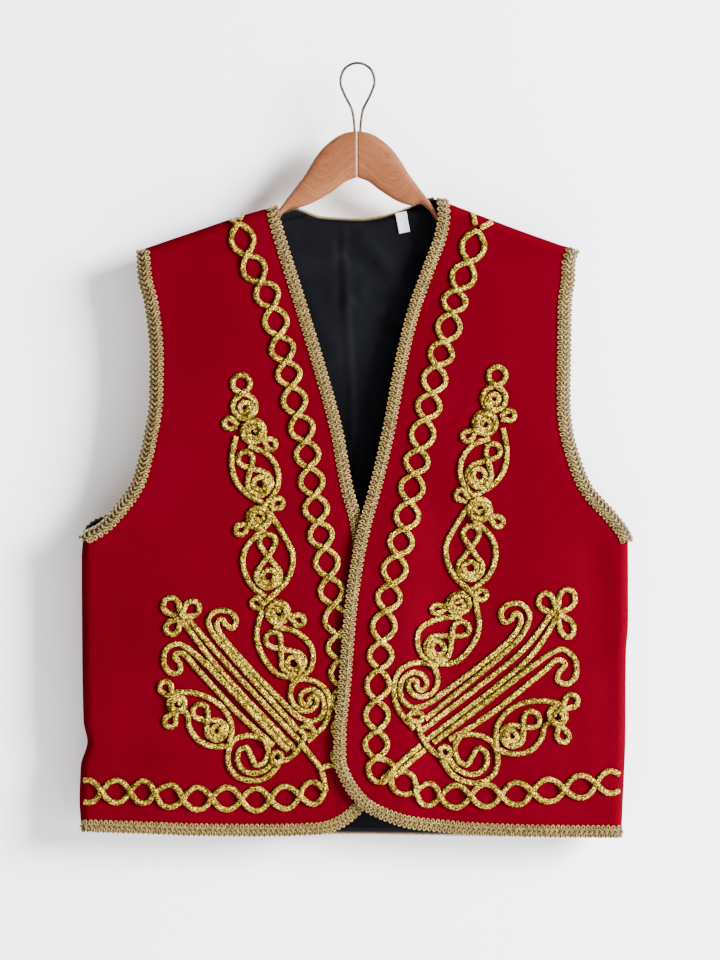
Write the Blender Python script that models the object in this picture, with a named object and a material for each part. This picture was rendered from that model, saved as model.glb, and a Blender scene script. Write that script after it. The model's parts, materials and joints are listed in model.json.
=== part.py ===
"""A sleeveless open-front folk vest, hung flat on a wooden coat hanger with a wire loop.

Frame: metres, +X to the right as seen from the front, the front faces -Y, +Z up. The origin is the
inner top of the wire loop, where a hook holds the hanger. Tables are in millimetres: "across" is X,
"down" is how far a point lies below the hang point, and "depth" is how far it stands to the front.
Left and right are as seen from the front.
"""
import math

import bmesh
import bpy
from mathutils import Vector
from mathutils.bvhtree import BVHTree

MM = 0.001

# Cloth, braid and cord sizes, in millimetres
CLOTH_WALL = 1.6
LINING_WALL = 0.9
LINING_EASE = 1.3
GAP = 0.3
SEAM_DEPTH = 0.2
SEAM_REACH = 3.2
BRAID_WIDTH = 12.5
BRAID_THICK = 1.3
CORD_WIDTH = 5.2
CORD_THICK = 1.8
CORD_LIFT = 0.45
CORD_STATION = 15.0
RING_TOUCH = 0.5
FRONT_DEPTH = 9.0
BACK_DEPTH = 10.4
BODY_FULLNESS = 2.2
EDGE_ROLL = 9.0
ARMHOLE_PARTING = 5.0
PARTING_RUN = 30.0
OVERLAP_STEP = 4.8
# Rows of points at the underarms and along the crease across the chest, measured down a panel
FRONT_MARKS = [274.0, 283.0, 292.0]
BACK_MARKS = [274.0]
MARK_CLEAR = 7.0
BACK_BRAID_REACH = 2.4
BRAID_LIFT = 0.4
# Spacing of points down a panel is worked out on a panel of this height
PANEL_HEIGHT = 560.0
# How far in from the sides the back's columns still follow the armholes
SIDE_PULL = 120.0
# A length down the cloth's rolled shoulder for each length straight down
SHOULDER_LEAN = 0.94

# Hanger sizes, in millimetres
WOOD_THICK = 12.4
WOOD_REACH = 186.0
WIRE_RADIUS = 1.25
MITRE_GAP = 0.3
HANGER_SEAT = 1.3
ARM_SQUARENESS = 2.6
ARM_THINNING = 0.12
TIP_START = 174.0

# The shoulder lines: neck point and shoulder tip, as (across, down)
NECK_LEFT = (-73.0, 131.5)
TIP_LEFT = (-198.0, 170.0)
NECK_RIGHT = (72.5, 122.5)
TIP_RIGHT = (199.0, 168.5)
UNDERARM_LEFT = 426.0
UNDERARM_RIGHT = 430.0

# Armhole and side edge, rows of (down, across)
SIDE_LEFT = [
    (170.0, -198.0), (198.0, -195.5), (218.0, -190.0), (270.0, -185.0), (307.0, -185.6),
    (343.0, -191.0), (362.0, -195.6), (380.0, -203.0), (398.0, -217.5), (416.0, -238.0),
    (435.0, -246.0), (453.0, -251.0), (540.0, -250.5), (600.0, -249.4), (619.0, -246.0),
    (641.0, -252.0), (672.0, -253.0), (700.0, -251.5),
]
SIDE_RIGHT = [
    (168.5, 199.0), (182.0, 194.5), (198.0, 194.0), (216.0, 190.5), (270.0, 189.3), (307.0, 188.6),
    (335.0, 190.5), (362.0, 198.4), (380.0, 206.6), (398.0, 221.0), (416.0, 234.0),
    (435.0, 245.0), (508.0, 245.8), (541.0, 243.6), (617.0, 243.0), (672.0, 240.6), (705.5, 240.0),
]

# Neck edge, V and front edge, rows of (down, across); the last row is the middle of the round corner
EDGE_LEFT = [
    (131.5, -73.0), (143.0, -70.7), (170.0, -62.5), (225.0, -45.1), (280.0, -28.7),
    (334.0, -14.1), (389.0, -4.1), (414.6, 3.2), (453.0, 8.0), (526.0, 12.5),
    (617.0, 15.5), (658.0, 14.0), (673.0, 10.0), (684.0, 2.1),
]
EDGE_RIGHT = [
    (122.5, 72.5), (138.0, 73.9), (154.0, 71.4), (184.0, 60.6), (225.0, 46.1),
    (270.0, 35.1), (334.0, 23.3), (389.0, 10.5), (414.6, 3.2), (444.7, -3.6),
    (498.0, -11.4), (564.0, -16.6), (617.0, -21.2), (637.0, -21.0), (652.0, -15.6),
    (663.0, -9.6), (671.0, -3.3),
]

# Hems, rows of (across, down)
HEM_LEFT = [
    (2.1, 684.0), (-6.5, 691.4), (-17.2, 697.8), (-28.0, 701.6), (-39.0, 703.0),
    (-84.0, 704.2), (-139.0, 703.7), (-194.0, 701.8), (-251.5, 700.0),
]
HEM_RIGHT = [
    (-3.3, 671.0), (6.4, 680.2), (17.1, 686.1), (30.1, 691.4), (42.0, 695.2),
    (52.4, 697.3), (80.0, 700.5), (107.0, 702.8), (163.0, 704.6), (240.0, 705.5),
]
BACK_HEM = [(-251.5, 700.0), (-120.0, 700.5), (3.0, 699.4), (120.0, 702.0), (240.0, 705.5)]
BACK_NECK = [
    (-73.0, 131.5), (-72.0, 134.0), (-70.2, 138.2), (-66.0, 137.8), (-50.0, 137.8), (-22.0, 141.4),
    (3.0, 143.4), (30.0, 140.6), (50.0, 135.2), (62.0, 131.6), (68.0, 129.8), (70.4, 127.0),
    (71.6, 124.6), (72.5, 122.5),
]

# Where the back's neck edge turns down behind the hanger, measured in from the neck points
NECK_STATIONS = [0.0, 1.0, 2.8, 7.0]

# The largest folds, rows of (across, down, across, down, width, depth): a soft trough or ridge
FRONT_FOLDS = [
    (-174.0, 415.0, -57.0, 407.0, 15.0, -0.9),
    (16.0, 415.0, 146.0, 424.0, 15.0, -0.9),
    (-246.0, 627.0, -196.0, 632.0, 10.0, -1.5),
    (214.0, 450.0, 219.0, 530.0, 13.0, -1.5),
    (-150.0, 470.0, -158.0, 705.0, 42.0, 1.6),
    (150.0, 480.0, 168.0, 705.0, 46.0, 1.8),
    (-110.0, 240.0, -150.0, 330.0, 30.0, 1.0),
    (120.0, 235.0, 158.0, 330.0, 30.0, 1.0),
]
BACK_FOLDS = [
    (-120.0, 330.0, -150.0, 700.0, 44.0, 2.0),
    (30.0, 300.0, 10.0, 690.0, 50.0, 1.6),
    (140.0, 360.0, 170.0, 700.0, 40.0, 2.0),
    (-196.0, 425.0, -60.0, 415.0, 13.0, -1.2),
    (70.0, 418.0, 190.0, 430.0, 13.0, -1.2),
]

# The couched cord of one front. The left front is drawn, and the right one is laid out from it.
# Chain: where the two strands cross, rows of (across, down)
CHAIN_LEFT = [
    (-107.0, 154.5), (-101.4, 177.0), (-87.5, 199.0), (-77.1, 222.3), (-71.8, 248.5), (-65.2, 271.9),
    (-60.2, 294.6), (-54.9, 320.5), (-46.7, 344.4), (-44.7, 368.7), (-38.8, 393.6), (-36.8, 418.2),
    (-29.8, 441.5), (-26.2, 468.2), (-21.4, 493.5), (-17.8, 520.6), (-15.4, 543.3), (-12.8, 568.0),
    (-11.8, 593.0), (-11.8, 619.0), (-12.4, 643.0),
]
CHAIN_RIGHT = [
    (108.9, 153.8), (101.9, 181.4), (90.6, 206.7), (86.2, 227.6), (80.1, 253.8), (72.2, 275.6),
    (67.9, 300.9), (61.7, 324.4), (56.7, 352.0), (51.3, 374.0), (47.7, 400.2), (42.5, 424.6),
    (36.4, 448.1), (31.2, 474.3), (25.9, 498.8), (21.5, 526.7), (20.5, 552.0), (16.6, 580.0),
    (18.5, 607.7), (15.7, 632.8),
]
HEM_CHAIN_LEFT = [
    (-233.0, 663.6), (-206.6, 663.6), (-184.0, 664.5), (-158.8, 670.9), (-132.7, 669.0),
    (-105.6, 670.9), (-79.4, 670.9), (-52.4, 667.2), (-29.6, 662.7),
]
HEM_CHAIN_RIGHT = [
    (30.6, 647.0), (52.9, 663.6), (75.2, 669.0), (103.1, 667.2), (130.9, 667.2), (159.1, 663.6),
    (188.8, 661.7), (217.5, 656.3),
]
CHAIN_SWING = 10.4
CHAIN_BENDS = (0.31, 0.69)
# Where the strands cross, their corners stand this many cord widths out
CROSSING_WIDE = 0.62
CROSSING_TALL = 0.76
BEND_LEAN = 0.9

# Rings of the ornament, rows of (across, down, radius of the cord's middle line)
RINGS = [
    (-105.8, 292.0, 8.2), (-103.0, 314.0, 10.0), (-116.7, 328.2, 5.4), (-78.5, 347.4, 6.0),
    (-102.1, 360.6, 7.0), (-89.1, 381.8, 10.0), (-72.8, 400.5, 5.2), (-106.2, 425.3, 6.8),
    (-82.0, 436.2, 7.6), (-81.2, 469.0, 10.4), (-91.7, 491.8, 5.2), (-53.4, 507.4, 6.0),
    (-76.8, 524.9, 7.2), (-58.5, 546.8, 9.4), (-169.2, 495.2, 7.6), (-150.9, 497.9, 6.8),
    (-168.3, 514.0, 6.4), (-73.4, 632.3, 5.2), (-48.8, 608.9, 4.8), (-174.2, 570.5, 5.6),
    (-170.4, 597.8, 5.6), (-143.1, 590.6, 7.4), (-128.1, 607.9, 8.2),
]

# Tight coils of cord, wound closed, rows of (across, down, outer radius)
COILS = [(-94.8, 335.3, 12.4), (-89.8, 414.3, 12.4), (-72.5, 500.3, 12.0), (-164.0, 583.3, 9.6)]

# Strands of the ornament, rows of (across, down) that the cord passes through
STRANDS = {
    "first drop outer": [
        (-110.8, 338.0), (-114.0, 359.9), (-111.7, 378.1), (-102.6, 390.9), (-85.3, 401.5)],
    "first drop inner": [
        (-99.0, 346.0), (-82.5, 356.2), (-73.4, 369.0), (-73.0, 386.3), (-85.3, 403.0)],
    "second drop outer": [
        (-85.0, 424.0), (-100.8, 440.1), (-104.4, 455.6), (-98.0, 473.9), (-81.6, 488.0)],
    "second drop inner": [
        (-82.0, 414.0), (-65.2, 431.9), (-58.8, 449.3), (-64.3, 471.1), (-81.6, 490.0)],
    "third drop outer": [
        (-87.0, 496.0), (-91.7, 521.3), (-86.2, 540.5), (-73.4, 556.0), (-53.0, 561.5)],
    "third drop inner": [
        (-76.0, 511.0), (-55.2, 518.6), (-41.5, 533.2), (-42.4, 550.5), (-56.0, 563.0)],
    "upper scroll outer": [
        (-55.0, 560.0), (-39.3, 564.0), (-28.8, 575.6), (-27.6, 590.8), (-33.5, 605.9), (-47.0, 615.0)],
    "upper scroll inner": [
        (-53.8, 560.0), (-61.4, 573.3), (-60.2, 587.3), (-50.9, 594.8), (-42.5, 592.2),
        (-41.0, 584.0), (-50.0, 582.0)],
    "upper scroll turn": [
        (-50.0, 582.0), (-53.0, 575.0), (-43.9, 571.2), (-34.5, 579.1), (-34.0, 592.5),
        (-42.6, 601.5), (-53.2, 604.0)],
    "trefoil stem left": [(-162.0, 506.0), (-128.8, 550.1), (-96.3, 585.0), (-57.0, 625.0)],
    "trefoil stem right": [(-158.0, 503.0), (-121.9, 546.6), (-88.1, 582.6), (-50.8, 620.6)],
    "upper hook": [
        (-119.5, 508.2), (-113.7, 514.2), (-109.6, 508.2), (-115.6, 500.2), (-126.5, 498.5),
        (-135.6, 505.3), (-133.5, 517.5), (-110.2, 545.4), (-53.2, 608.2)],
    "upper hook second": [
        (-119.5, 512.0), (-122.5, 506.6), (-128.6, 508.8), (-126.0, 518.3), (-96.3, 552.9),
        (-61.4, 590.0), (-46.4, 604.6)],
    "lower hook": [
        (-162.7, 547.6), (-160.8, 554.7), (-169.6, 556.0), (-175.8, 546.6), (-174.2, 534.9),
        (-164.9, 529.2), (-153.3, 534.9), (-119.5, 567.3), (-68.4, 620.9)],
    "lower hook second": [
        (-162.0, 546.6), (-167.2, 539.4), (-160.4, 537.6), (-146.3, 555.7), (-112.6, 592.9),
        (-78.3, 629.7)],
    "lyre foot": [(-72.7, 636.3), (-61.4, 631.0), (-52.2, 621.5), (-48.6, 611.5)],
    "lower scroll outer": [
        (-80.1, 619.0), (-88.1, 614.4), (-100.9, 612.5), (-112.6, 616.4), (-117.4, 626.7),
        (-117.2, 639.6), (-110.2, 649.4), (-96.3, 653.6), (-82.3, 650.1), (-71.7, 636.8)],
    "lower scroll inner": [
        (-91.6, 614.0), (-84.6, 624.7), (-85.4, 635.1), (-92.4, 640.0), (-97.4, 631.5)],
    "lower scroll turn": [
        (-97.4, 631.5), (-102.1, 622.6), (-109.4, 628.6), (-107.6, 639.6), (-98.6, 646.6),
        (-86.6, 645.0), (-75.3, 634.5)],
    "spray top": [
        (-116.2, 617.5), (-114.6, 603.6), (-121.9, 588.4), (-135.8, 578.0), (-153.3, 573.3),
        (-168.4, 574.3)],
    "spray foot": [
        (-115.2, 619.9), (-130.0, 622.8), (-145.1, 616.4), (-153.3, 603.6), (-153.9, 594.3),
        (-158.9, 588.8)],
    "stem": [(-54.7, 619.3), (-40.4, 633.8), (-33.5, 643.1), (-29.6, 661.7)],
    "side link": [(-33.3, 643.6), (-20.8, 637.5), (-11.0, 643.0)],
    "corner link": [(-29.6, 662.7), (-22.0, 666.6), (-14.0, 661.0), (-10.0, 647.0)],
}

# How the right front's ornament is laid out: a mirrored copy, a little turned and drawn in below
MIRROR_SUM = 21.5
RIGHT_LIFT = 7.4
LOWER_START = 485.0
LOWER_RUN = 60.0
SPREAD_START = 535.0
SPREAD_AXIS = -62.3
LOWER_TURN = 0.21
LOWER_DRAW = 0.11
LOWER_SPREAD = 0.07
TURN_AXIS = -93.0

# Wood, rows of (out from the mitre, down)
ARM_TOP = [
    (0.0, 61.7), (8.0, 62.6), (16.5, 65.9), (30.5, 77.0), (39.0, 88.3), (47.5, 103.0), (56.0, 114.6),
    (66.0, 127.8), (73.0, 136.6),
]
ARM_BOTTOM = [
    (0.0, 103.1), (10.0, 107.0), (20.0, 114.6), (42.0, 126.4), (53.0, 131.6), (80.0, 150.0),
    (120.0, 162.5), (160.0, 178.5), (187.0, 186.0),
]
MITRE_ACROSS = -0.5

# Wire loop, its left half from the wood to the top, rows of (across, down)
WIRE_HALF = [
    (-2.5, 61.4), (-3.2, 52.0), (-5.2, 41.0), (-11.6, 28.0), (-15.6, 16.0), (-12.6, 5.0), (-6.4, 0.0),
]

# Label in the neck, on the lining: middle as (across, down), width, height and turn
LABEL_MIDDLE = (40.8, 144.4)
LABEL_SIZE = (9.8, 19.5)
LABEL_THICK = 0.5
LABEL_TURN = math.radians(8.0)
LABEL_SHEET_TOP = 140.0

RED = (0.262, 0.0, 0.007)
BLACK = (0.010, 0.010, 0.013)
BRAID_GOLD = (0.52, 0.38, 0.16)
CORD_GOLD = (0.52, 0.43, 0.10)
WOOD = (0.43, 0.24, 0.11)
IRON = (0.07, 0.055, 0.045)
WHITE = (0.80, 0.80, 0.78)


def clear_scene():
    for item in list(bpy.data.objects):
        bpy.data.objects.remove(item)


def material(name, colour, roughness, metallic=0.0):
    made = bpy.data.materials.new(name)
    made.use_nodes = True
    shader = made.node_tree.nodes["Principled BSDF"]
    shader.inputs["Base Color"].default_value = (*colour, 1.0)
    shader.inputs["Roughness"].default_value = roughness
    shader.inputs["Metallic"].default_value = metallic
    return made


def place(across, down, depth=0.0):
    """A point given in millimetres across, down and to the front."""
    return Vector((across * MM, -depth * MM, -down * MM))


def smooth(value):
    """A soft step from 0 to 1."""
    value = min(1.0, max(0.0, value))
    return value * value * (3.0 - 2.0 * value)


def between(table, key):
    """Reads a two-column table at a value of its first column, on a smooth curve."""
    rows = table if table[0][0] < table[-1][0] else table[::-1]
    key = min(max(key, rows[0][0]), rows[-1][0])
    last = len(rows) - 1
    at = next(k for k in range(last) if key <= rows[k + 1][0])
    slopes = [(rows[k + 1][1] - rows[k][1]) / (rows[k + 1][0] - rows[k][0]) for k in range(last)]

    def lean(k):
        if k == 0:
            return slopes[0]
        if k == last:
            return slopes[-1]
        if slopes[k - 1] * slopes[k] <= 0.0:
            return 0.0
        return 2.0 * slopes[k - 1] * slopes[k] / (slopes[k - 1] + slopes[k])

    span = rows[at + 1][0] - rows[at][0]
    t = (key - rows[at][0]) / span
    return (
        (2 * t**3 - 3 * t**2 + 1) * rows[at][1] + (t**3 - 2 * t**2 + t) * span * lean(at)
        + (3 * t**2 - 2 * t**3) * rows[at + 1][1] + (t**3 - t**2) * span * lean(at + 1)
    )


def flowing(points, spacing):
    """Points along a smooth curve through the given ones, about one spacing apart."""
    ends = [2 * Vector(points[0]) - Vector(points[1]), 2 * Vector(points[-1]) - Vector(points[-2])]
    row = [ends[0]] + [Vector(p) for p in points] + [ends[1]]
    out = [row[1]]
    for a, b, c, d in zip(row, row[1:], row[2:], row[3:]):
        steps = max(1, round((c - b).length / spacing))
        for k in range(1, steps + 1):
            t = k / steps
            out.append(0.5 * (2 * b + (c - a) * t + (2 * a - 5 * b + 4 * c - d) * t**2
                              + (3 * b - a - 3 * c + d) * t**3))
    return out


def segment_distance(across, down, fold):
    ax, ad, bx, bd = fold[:4]
    dx, dd = bx - ax, bd - ad
    t = ((across - ax) * dx + (down - ad) * dd) / (dx * dx + dd * dd)
    t = min(1.0, max(0.0, t))
    return math.hypot(across - ax - t * dx, down - ad - t * dd)


def folds(across, down, table):
    """How far the largest folds move a point to the front."""
    return sum(fold[5] * math.exp(-(segment_distance(across, down, fold) / fold[4]) ** 2) for fold in table)


def rolled(distance):
    """A quarter round: 0 at a rolled edge and 1 where the cloth lies flat."""
    t = min(1.0, max(0.0, distance / EDGE_ROLL))
    return math.sqrt(1.0 - (1.0 - t) ** 2)


def shoulder_down(across):
    """The shoulder line, run on towards the neck."""
    neck, tip = (NECK_LEFT, TIP_LEFT) if across < 0.0 else (NECK_RIGHT, TIP_RIGHT)
    return neck[1] + (across - neck[0]) * (tip[1] - neck[1]) / (tip[0] - neck[0])


def side_across(down, sign):
    return between(SIDE_LEFT if sign < 0 else SIDE_RIGHT, down)


def edge_parting(down, sign):
    """How far the armhole's front edge stands from its back edge, halved; the seams are closed."""
    tip, underarm = (TIP_LEFT[1], UNDERARM_LEFT) if sign < 0 else (TIP_RIGHT[1], UNDERARM_RIGHT)
    return SEAM_DEPTH + ARMHOLE_PARTING * smooth(min(down - tip, underarm - down) / PARTING_RUN)


def overlap_lift(across, down):
    """The right front stands over the left one below the V."""
    covered = smooth((down - 385.0) / 32.0)
    beyond = (across - 40.0) / 40.0
    return OVERLAP_STEP * covered * (1.0 - smooth(beyond))


def drape(across, down, sign, full, own_folds, over=0.0):
    """The outer face's distance from the middle plane at a point of a panel."""
    flat = full + BODY_FULLNESS * smooth((down - 180.0) / 160.0) * (1.0 - 0.5 * smooth((down - 560.0) / 150.0))
    flat += folds(across, down, own_folds) + over
    tip = TIP_LEFT if sign < 0 else TIP_RIGHT
    from_side = abs(side_across(max(down, tip[1]), sign) - across)
    from_shoulder = (down - shoulder_down(across)) * SHOULDER_LEAN
    start = (edge_parting(down, sign) - SEAM_DEPTH) / (flat - SEAM_DEPTH)
    side = start + (1.0 - start) * rolled(from_side)
    return SEAM_DEPTH + (flat - SEAM_DEPTH) * side * rolled(from_shoulder)


def roll_stations():
    """Distances from a rolled edge that follow its quarter round evenly."""
    return [EDGE_ROLL * (1.0 - math.cos(math.radians(a))) for a in (0.0, 30.0, 60.0, 90.0)]


def stations(length, start, end, count):
    """Distances across a panel: the stations at both ends, and even ones between."""
    first, last = start[-1], length - end[-1]
    middle = [first + (last - first) * k / count for k in range(1, count)]
    return start + middle + [length - d for d in reversed(end)]


def with_marks(row, marks):
    """Adds stations at the marks, and drops those too close to one."""
    kept = [d for d in row if min(abs(d - m) for m in marks) > MARK_CLEAR]
    return sorted(kept + marks)


class Panel:
    """A patch between four edges: a grid of points with its outward directions."""

    def __init__(self, points, on_seam, turned=False):
        self.points = points
        self.rows = len(points)
        self.columns = len(points[0])
        self.out = [[self.direction(i, j, turned) for j in range(self.columns)] for i in range(self.rows)]
        for i in range(self.rows):
            for j in range(self.columns):
                if on_seam(i, j) and abs(points[i][j].y) < SEAM_REACH * MM:
                    flat = self.out[i][j].copy()
                    flat.y = 0.0
                    self.out[i][j] = flat.normalized()

    def direction(self, i, j, turned):
        grid = self.points
        along = grid[i][min(j + 1, self.columns - 1)] - grid[i][max(j - 1, 0)]
        down = grid[min(i + 1, self.rows - 1)][j] - grid[max(i - 1, 0)][j]
        normal = along.cross(down).normalized()
        return -normal if turned else normal

    def moved(self, i, j, out):
        return self.points[i][j] + self.out[i][j] * (out * MM)


def wall(name, panel, cells, low, high, reach=None):
    """A closed wall over some cells of a panel, between two distances from its outer face."""
    bm = bmesh.new()
    corners = sorted({(i + a, j + b) for i, j in cells for a in (0, 1) for b in (0, 1)})
    shift = reach or {}
    lower = {c: bm.verts.new(panel.moved(*c, low) + shift.get(c, Vector())) for c in corners}
    upper = {c: bm.verts.new(panel.moved(*c, high) + shift.get(c, Vector())) for c in corners}
    edges = {}
    for i, j in cells:
        ring = [(i, j), (i, j + 1), (i + 1, j + 1), (i + 1, j)]
        for a, b, c in ((0, 1, 2), (0, 2, 3)):
            bm.faces.new([upper[ring[k]] for k in (a, b, c)])
            bm.faces.new([lower[ring[k]] for k in (c, b, a)])
        for a, b in zip(ring, ring[1:] + ring[:1]):
            edges[(a, b)] = (b, a) not in edges
            if (b, a) in edges:
                edges[(a, b)] = False
                edges[(b, a)] = False
    for (a, b), outer in edges.items():
        if outer:
            bm.faces.new([upper[b], upper[a], lower[a]])
            bm.faces.new([upper[b], lower[a], lower[b]])
    bmesh.ops.recalc_face_normals(bm, faces=bm.faces)
    mesh = bpy.data.meshes.new(name)
    bm.to_mesh(mesh)
    bm.free()
    return mesh


def add(name, mesh, finish, collection):
    made = bpy.data.objects.new(name, mesh)
    made.data.materials.append(finish)
    collection.objects.link(made)
    return made


def front_panel(sign):
    """One front: neck edge and front edge inside, armhole and side outside."""
    left = sign < 0
    neck, tip = (NECK_LEFT, TIP_LEFT) if left else (NECK_RIGHT, TIP_RIGHT)
    edge = EDGE_LEFT if left else EDGE_RIGHT
    hem = HEM_LEFT if left else HEM_RIGHT
    corner = (edge[-1][1], edge[-1][0])
    foot = hem[-1]

    def inner(v):
        down = neck[1] + (corner[1] - neck[1]) * v
        return between(edge, down), down

    def outer(v):
        down = tip[1] + (foot[1] - tip[1]) * v
        return side_across(down, sign), down

    def top(u):
        return neck[0] + (tip[0] - neck[0]) * u, neck[1] + (tip[1] - neck[1]) * u

    def bottom(u):
        across = corner[0] + (foot[0] - corner[0]) * u
        return across, between(hem, across)

    def patch(u, v):
        point = []
        for k in (0, 1):
            ruled = (1 - v) * top(u)[k] + v * bottom(u)[k] + (1 - u) * inner(v)[k] + u * outer(v)[k]
            flat = (1 - v) * ((1 - u) * neck[k] + u * tip[k]) + v * ((1 - u) * corner[k] + u * foot[k])
            point.append(ruled - flat)
        return point

    roll = roll_stations()
    across_cells, down_cells = 5, 15
    points = []
    for down_at in with_marks(stations(PANEL_HEIGHT, roll, [0.0, BRAID_WIDTH], down_cells), FRONT_MARKS):
        v = down_at / PANEL_HEIGHT
        width = math.hypot(outer(v)[0] - inner(v)[0], outer(v)[1] - inner(v)[1])
        row = []
        for across_at in stations(width, [0.0, BRAID_WIDTH], roll + [BRAID_WIDTH], across_cells):
            across, down = patch(across_at / width, v)
            over = 0.0 if left else overlap_lift(across, down)
            row.append(place(across, down, drape(across, down, sign, FRONT_DEPTH, FRONT_FOLDS, over)))
        points.append(row)
    last = len(points[0]) - 1
    return Panel(points, lambda i, j: i == 0 or j == last, turned=not left)


def back_panel():
    """The back, from one side to the other: both shoulders and the neck on top."""
    shoulder_cells, neck_cells, down_cells = 3, 4, 12
    roll = roll_stations()

    def tops():
        """Where each column starts: the left shoulder, the neck, the right shoulder."""
        row = []
        left_out = stations(TIP_LEFT[0] * -1 + NECK_LEFT[0], roll + [BRAID_WIDTH], [0.0], shoulder_cells)
        for d in left_out:
            across = TIP_LEFT[0] + d
            row.append((across, shoulder_down(across)))
        neck_width = NECK_RIGHT[0] - NECK_LEFT[0]
        for d in stations(neck_width, NECK_STATIONS, NECK_STATIONS, neck_cells)[1:-1]:
            across = NECK_LEFT[0] + d
            row.append((across, between(BACK_NECK, across)))
        right_out = stations(TIP_RIGHT[0] - NECK_RIGHT[0], [0.0], roll + [BRAID_WIDTH], shoulder_cells)
        for d in right_out:
            across = NECK_RIGHT[0] + d
            row.append((across, shoulder_down(across)))
        return row

    start = tops()
    last = len(start) - 1
    points = []
    rows = stations(PANEL_HEIGHT, roll + [BRAID_WIDTH], [0.0, BRAID_WIDTH], down_cells)
    for down_at in with_marks(rows, BACK_MARKS):
        v = down_at / PANEL_HEIGHT
        left_down = TIP_LEFT[1] + (BACK_HEM[0][1] - TIP_LEFT[1]) * v
        right_down = TIP_RIGHT[1] + (BACK_HEM[-1][1] - TIP_RIGHT[1]) * v
        left_shift = side_across(left_down, -1) - TIP_LEFT[0]
        right_shift = side_across(right_down, 1) - TIP_RIGHT[0]
        row = []
        for j, (top_across, top_down) in enumerate(start):
            from_left = top_across - TIP_LEFT[0]
            from_right = TIP_RIGHT[0] - top_across
            near_left = 1.0 - smooth((from_left - BRAID_WIDTH) / SIDE_PULL)
            near_right = 1.0 - smooth((from_right - BRAID_WIDTH) / SIDE_PULL)
            across = top_across + left_shift * near_left + right_shift * near_right
            down = top_down + (between(BACK_HEM, across) - top_down) * v
            sign = -1 if across < 0.0 else 1
            depth = drape(across, down, sign, BACK_DEPTH, BACK_FOLDS)
            if 0 < j < last or v > 0.0:
                depth = max(depth, SEAM_DEPTH)
            row.append(place(across, down, -depth))
        points.append(row)
    neck_start = next(j for j, (a, d) in enumerate(start) if abs(a - NECK_LEFT[0]) < 1e-6)
    neck_end = next(j for j, (a, d) in enumerate(start) if abs(a - NECK_RIGHT[0]) < 1e-6)

    panel = Panel(points, lambda i, j: i == 0 or j == 0 or j == last)
    panel.neck = (neck_start, neck_end)
    return panel


def lining_panel():
    """The back's lining: it lies inside the back, clear of the shoulder and side folds."""
    columns, rows = 8, 12
    inset = EDGE_ROLL + 4.0
    points = []
    for i in range(rows + 1):
        v = i / rows
        row = []
        for j in range(columns + 1):
            u = j / columns
            wide_left = side_across(TIP_LEFT[1] + (BACK_HEM[0][1] - TIP_LEFT[1]) * v, -1) + inset
            wide_right = side_across(TIP_RIGHT[1] + (BACK_HEM[-1][1] - TIP_RIGHT[1]) * v, 1) - inset
            across = wide_left + (wide_right - wide_left) * u
            if NECK_LEFT[0] < across < NECK_RIGHT[0]:
                top = max(between(BACK_NECK, across) + 1.0, shoulder_down(across) + inset)
            else:
                top = shoulder_down(across) + inset
            down = top + (between(BACK_HEM, across) - 1.2 - top) * v
            sign = -1 if across < 0.0 else 1
            depth = drape(across, down, sign, BACK_DEPTH, BACK_FOLDS) - CLOTH_WALL - LINING_EASE
            row.append(place(across, down, -depth))
        points.append(row)
    return Panel(points, lambda i, j: False)


def all_cells(panel):
    return [(i, j) for i in range(panel.rows - 1) for j in range(panel.columns - 1)]


def surface_of(mesh):
    corners = [tuple(v.co) for v in mesh.vertices]
    return BVHTree.FromPolygons(corners, [tuple(p.vertices) for p in mesh.polygons])


def laid(tree, across, down, lift):
    """The point on a panel's front face, moved out by the lift."""
    far = place(across, down, 100.0)
    hit, normal, _, _ = tree.ray_cast(far, Vector((0.0, 1.0, 0.0)))
    if normal.y > 0.0:
        normal = -normal
    return hit + normal * (lift * MM)


def ribbon(points, width):
    """A flat length of cord in the drawing plane, X across and Y down, with square ends."""
    bm = bmesh.new()
    sides = []
    for k, point in enumerate(points):
        ahead = points[min(k + 1, len(points) - 1)] - points[max(k - 1, 0)]
        turn = Vector((-ahead.y, ahead.x)).normalized() * (width / 2)
        sides.append([
            bm.verts.new((point.x + s * turn.x, point.y + s * turn.y, h))
            for s, h in ((1, 0.0), (-1, 0.0), (-1, CORD_THICK), (1, CORD_THICK))
        ])
    for a, b in zip(sides, sides[1:]):
        for k in range(4):
            bm.faces.new([a[k], a[(k + 1) % 4], b[(k + 1) % 4], b[k]])
    bm.faces.new(sides[0][::-1])
    bm.faces.new(sides[-1])
    bmesh.ops.recalc_face_normals(bm, faces=bm.faces)
    return bm


def ring(across, down, radius, width):
    """A flat ring of cord, closed on itself."""
    count = 6 if radius < 6.5 else 8
    inner = max(radius - width / 2, 1.6)
    outer = (radius + width / 2 + RING_TOUCH) / math.cos(math.pi / count)
    bm = bmesh.new()
    sides = []
    for k in range(count):
        angle = 2 * math.pi * (k + 0.5) / count
        sides.append([
            bm.verts.new((across + r * math.cos(angle), down + r * math.sin(angle), h))
            for r, h in ((outer, 0.0), (inner, 0.0), (inner, CORD_THICK), (outer, CORD_THICK))
        ])
    for a, b in zip(sides, sides[1:] + sides[:1]):
        for k in range(4):
            bm.faces.new([a[k], a[(k + 1) % 4], b[(k + 1) % 4], b[k]])
    bmesh.ops.recalc_face_normals(bm, faces=bm.faces)
    return bm


def coil(across, down, radius):
    """A tight coil of cord as one flat round."""
    bm = bmesh.new()
    bmesh.ops.create_cone(
        bm, cap_ends=True, segments=9, radius1=radius, radius2=radius, depth=CORD_THICK)
    bmesh.ops.translate(bm, verts=bm.verts, vec=(across, down, CORD_THICK / 2))
    return bm


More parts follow.
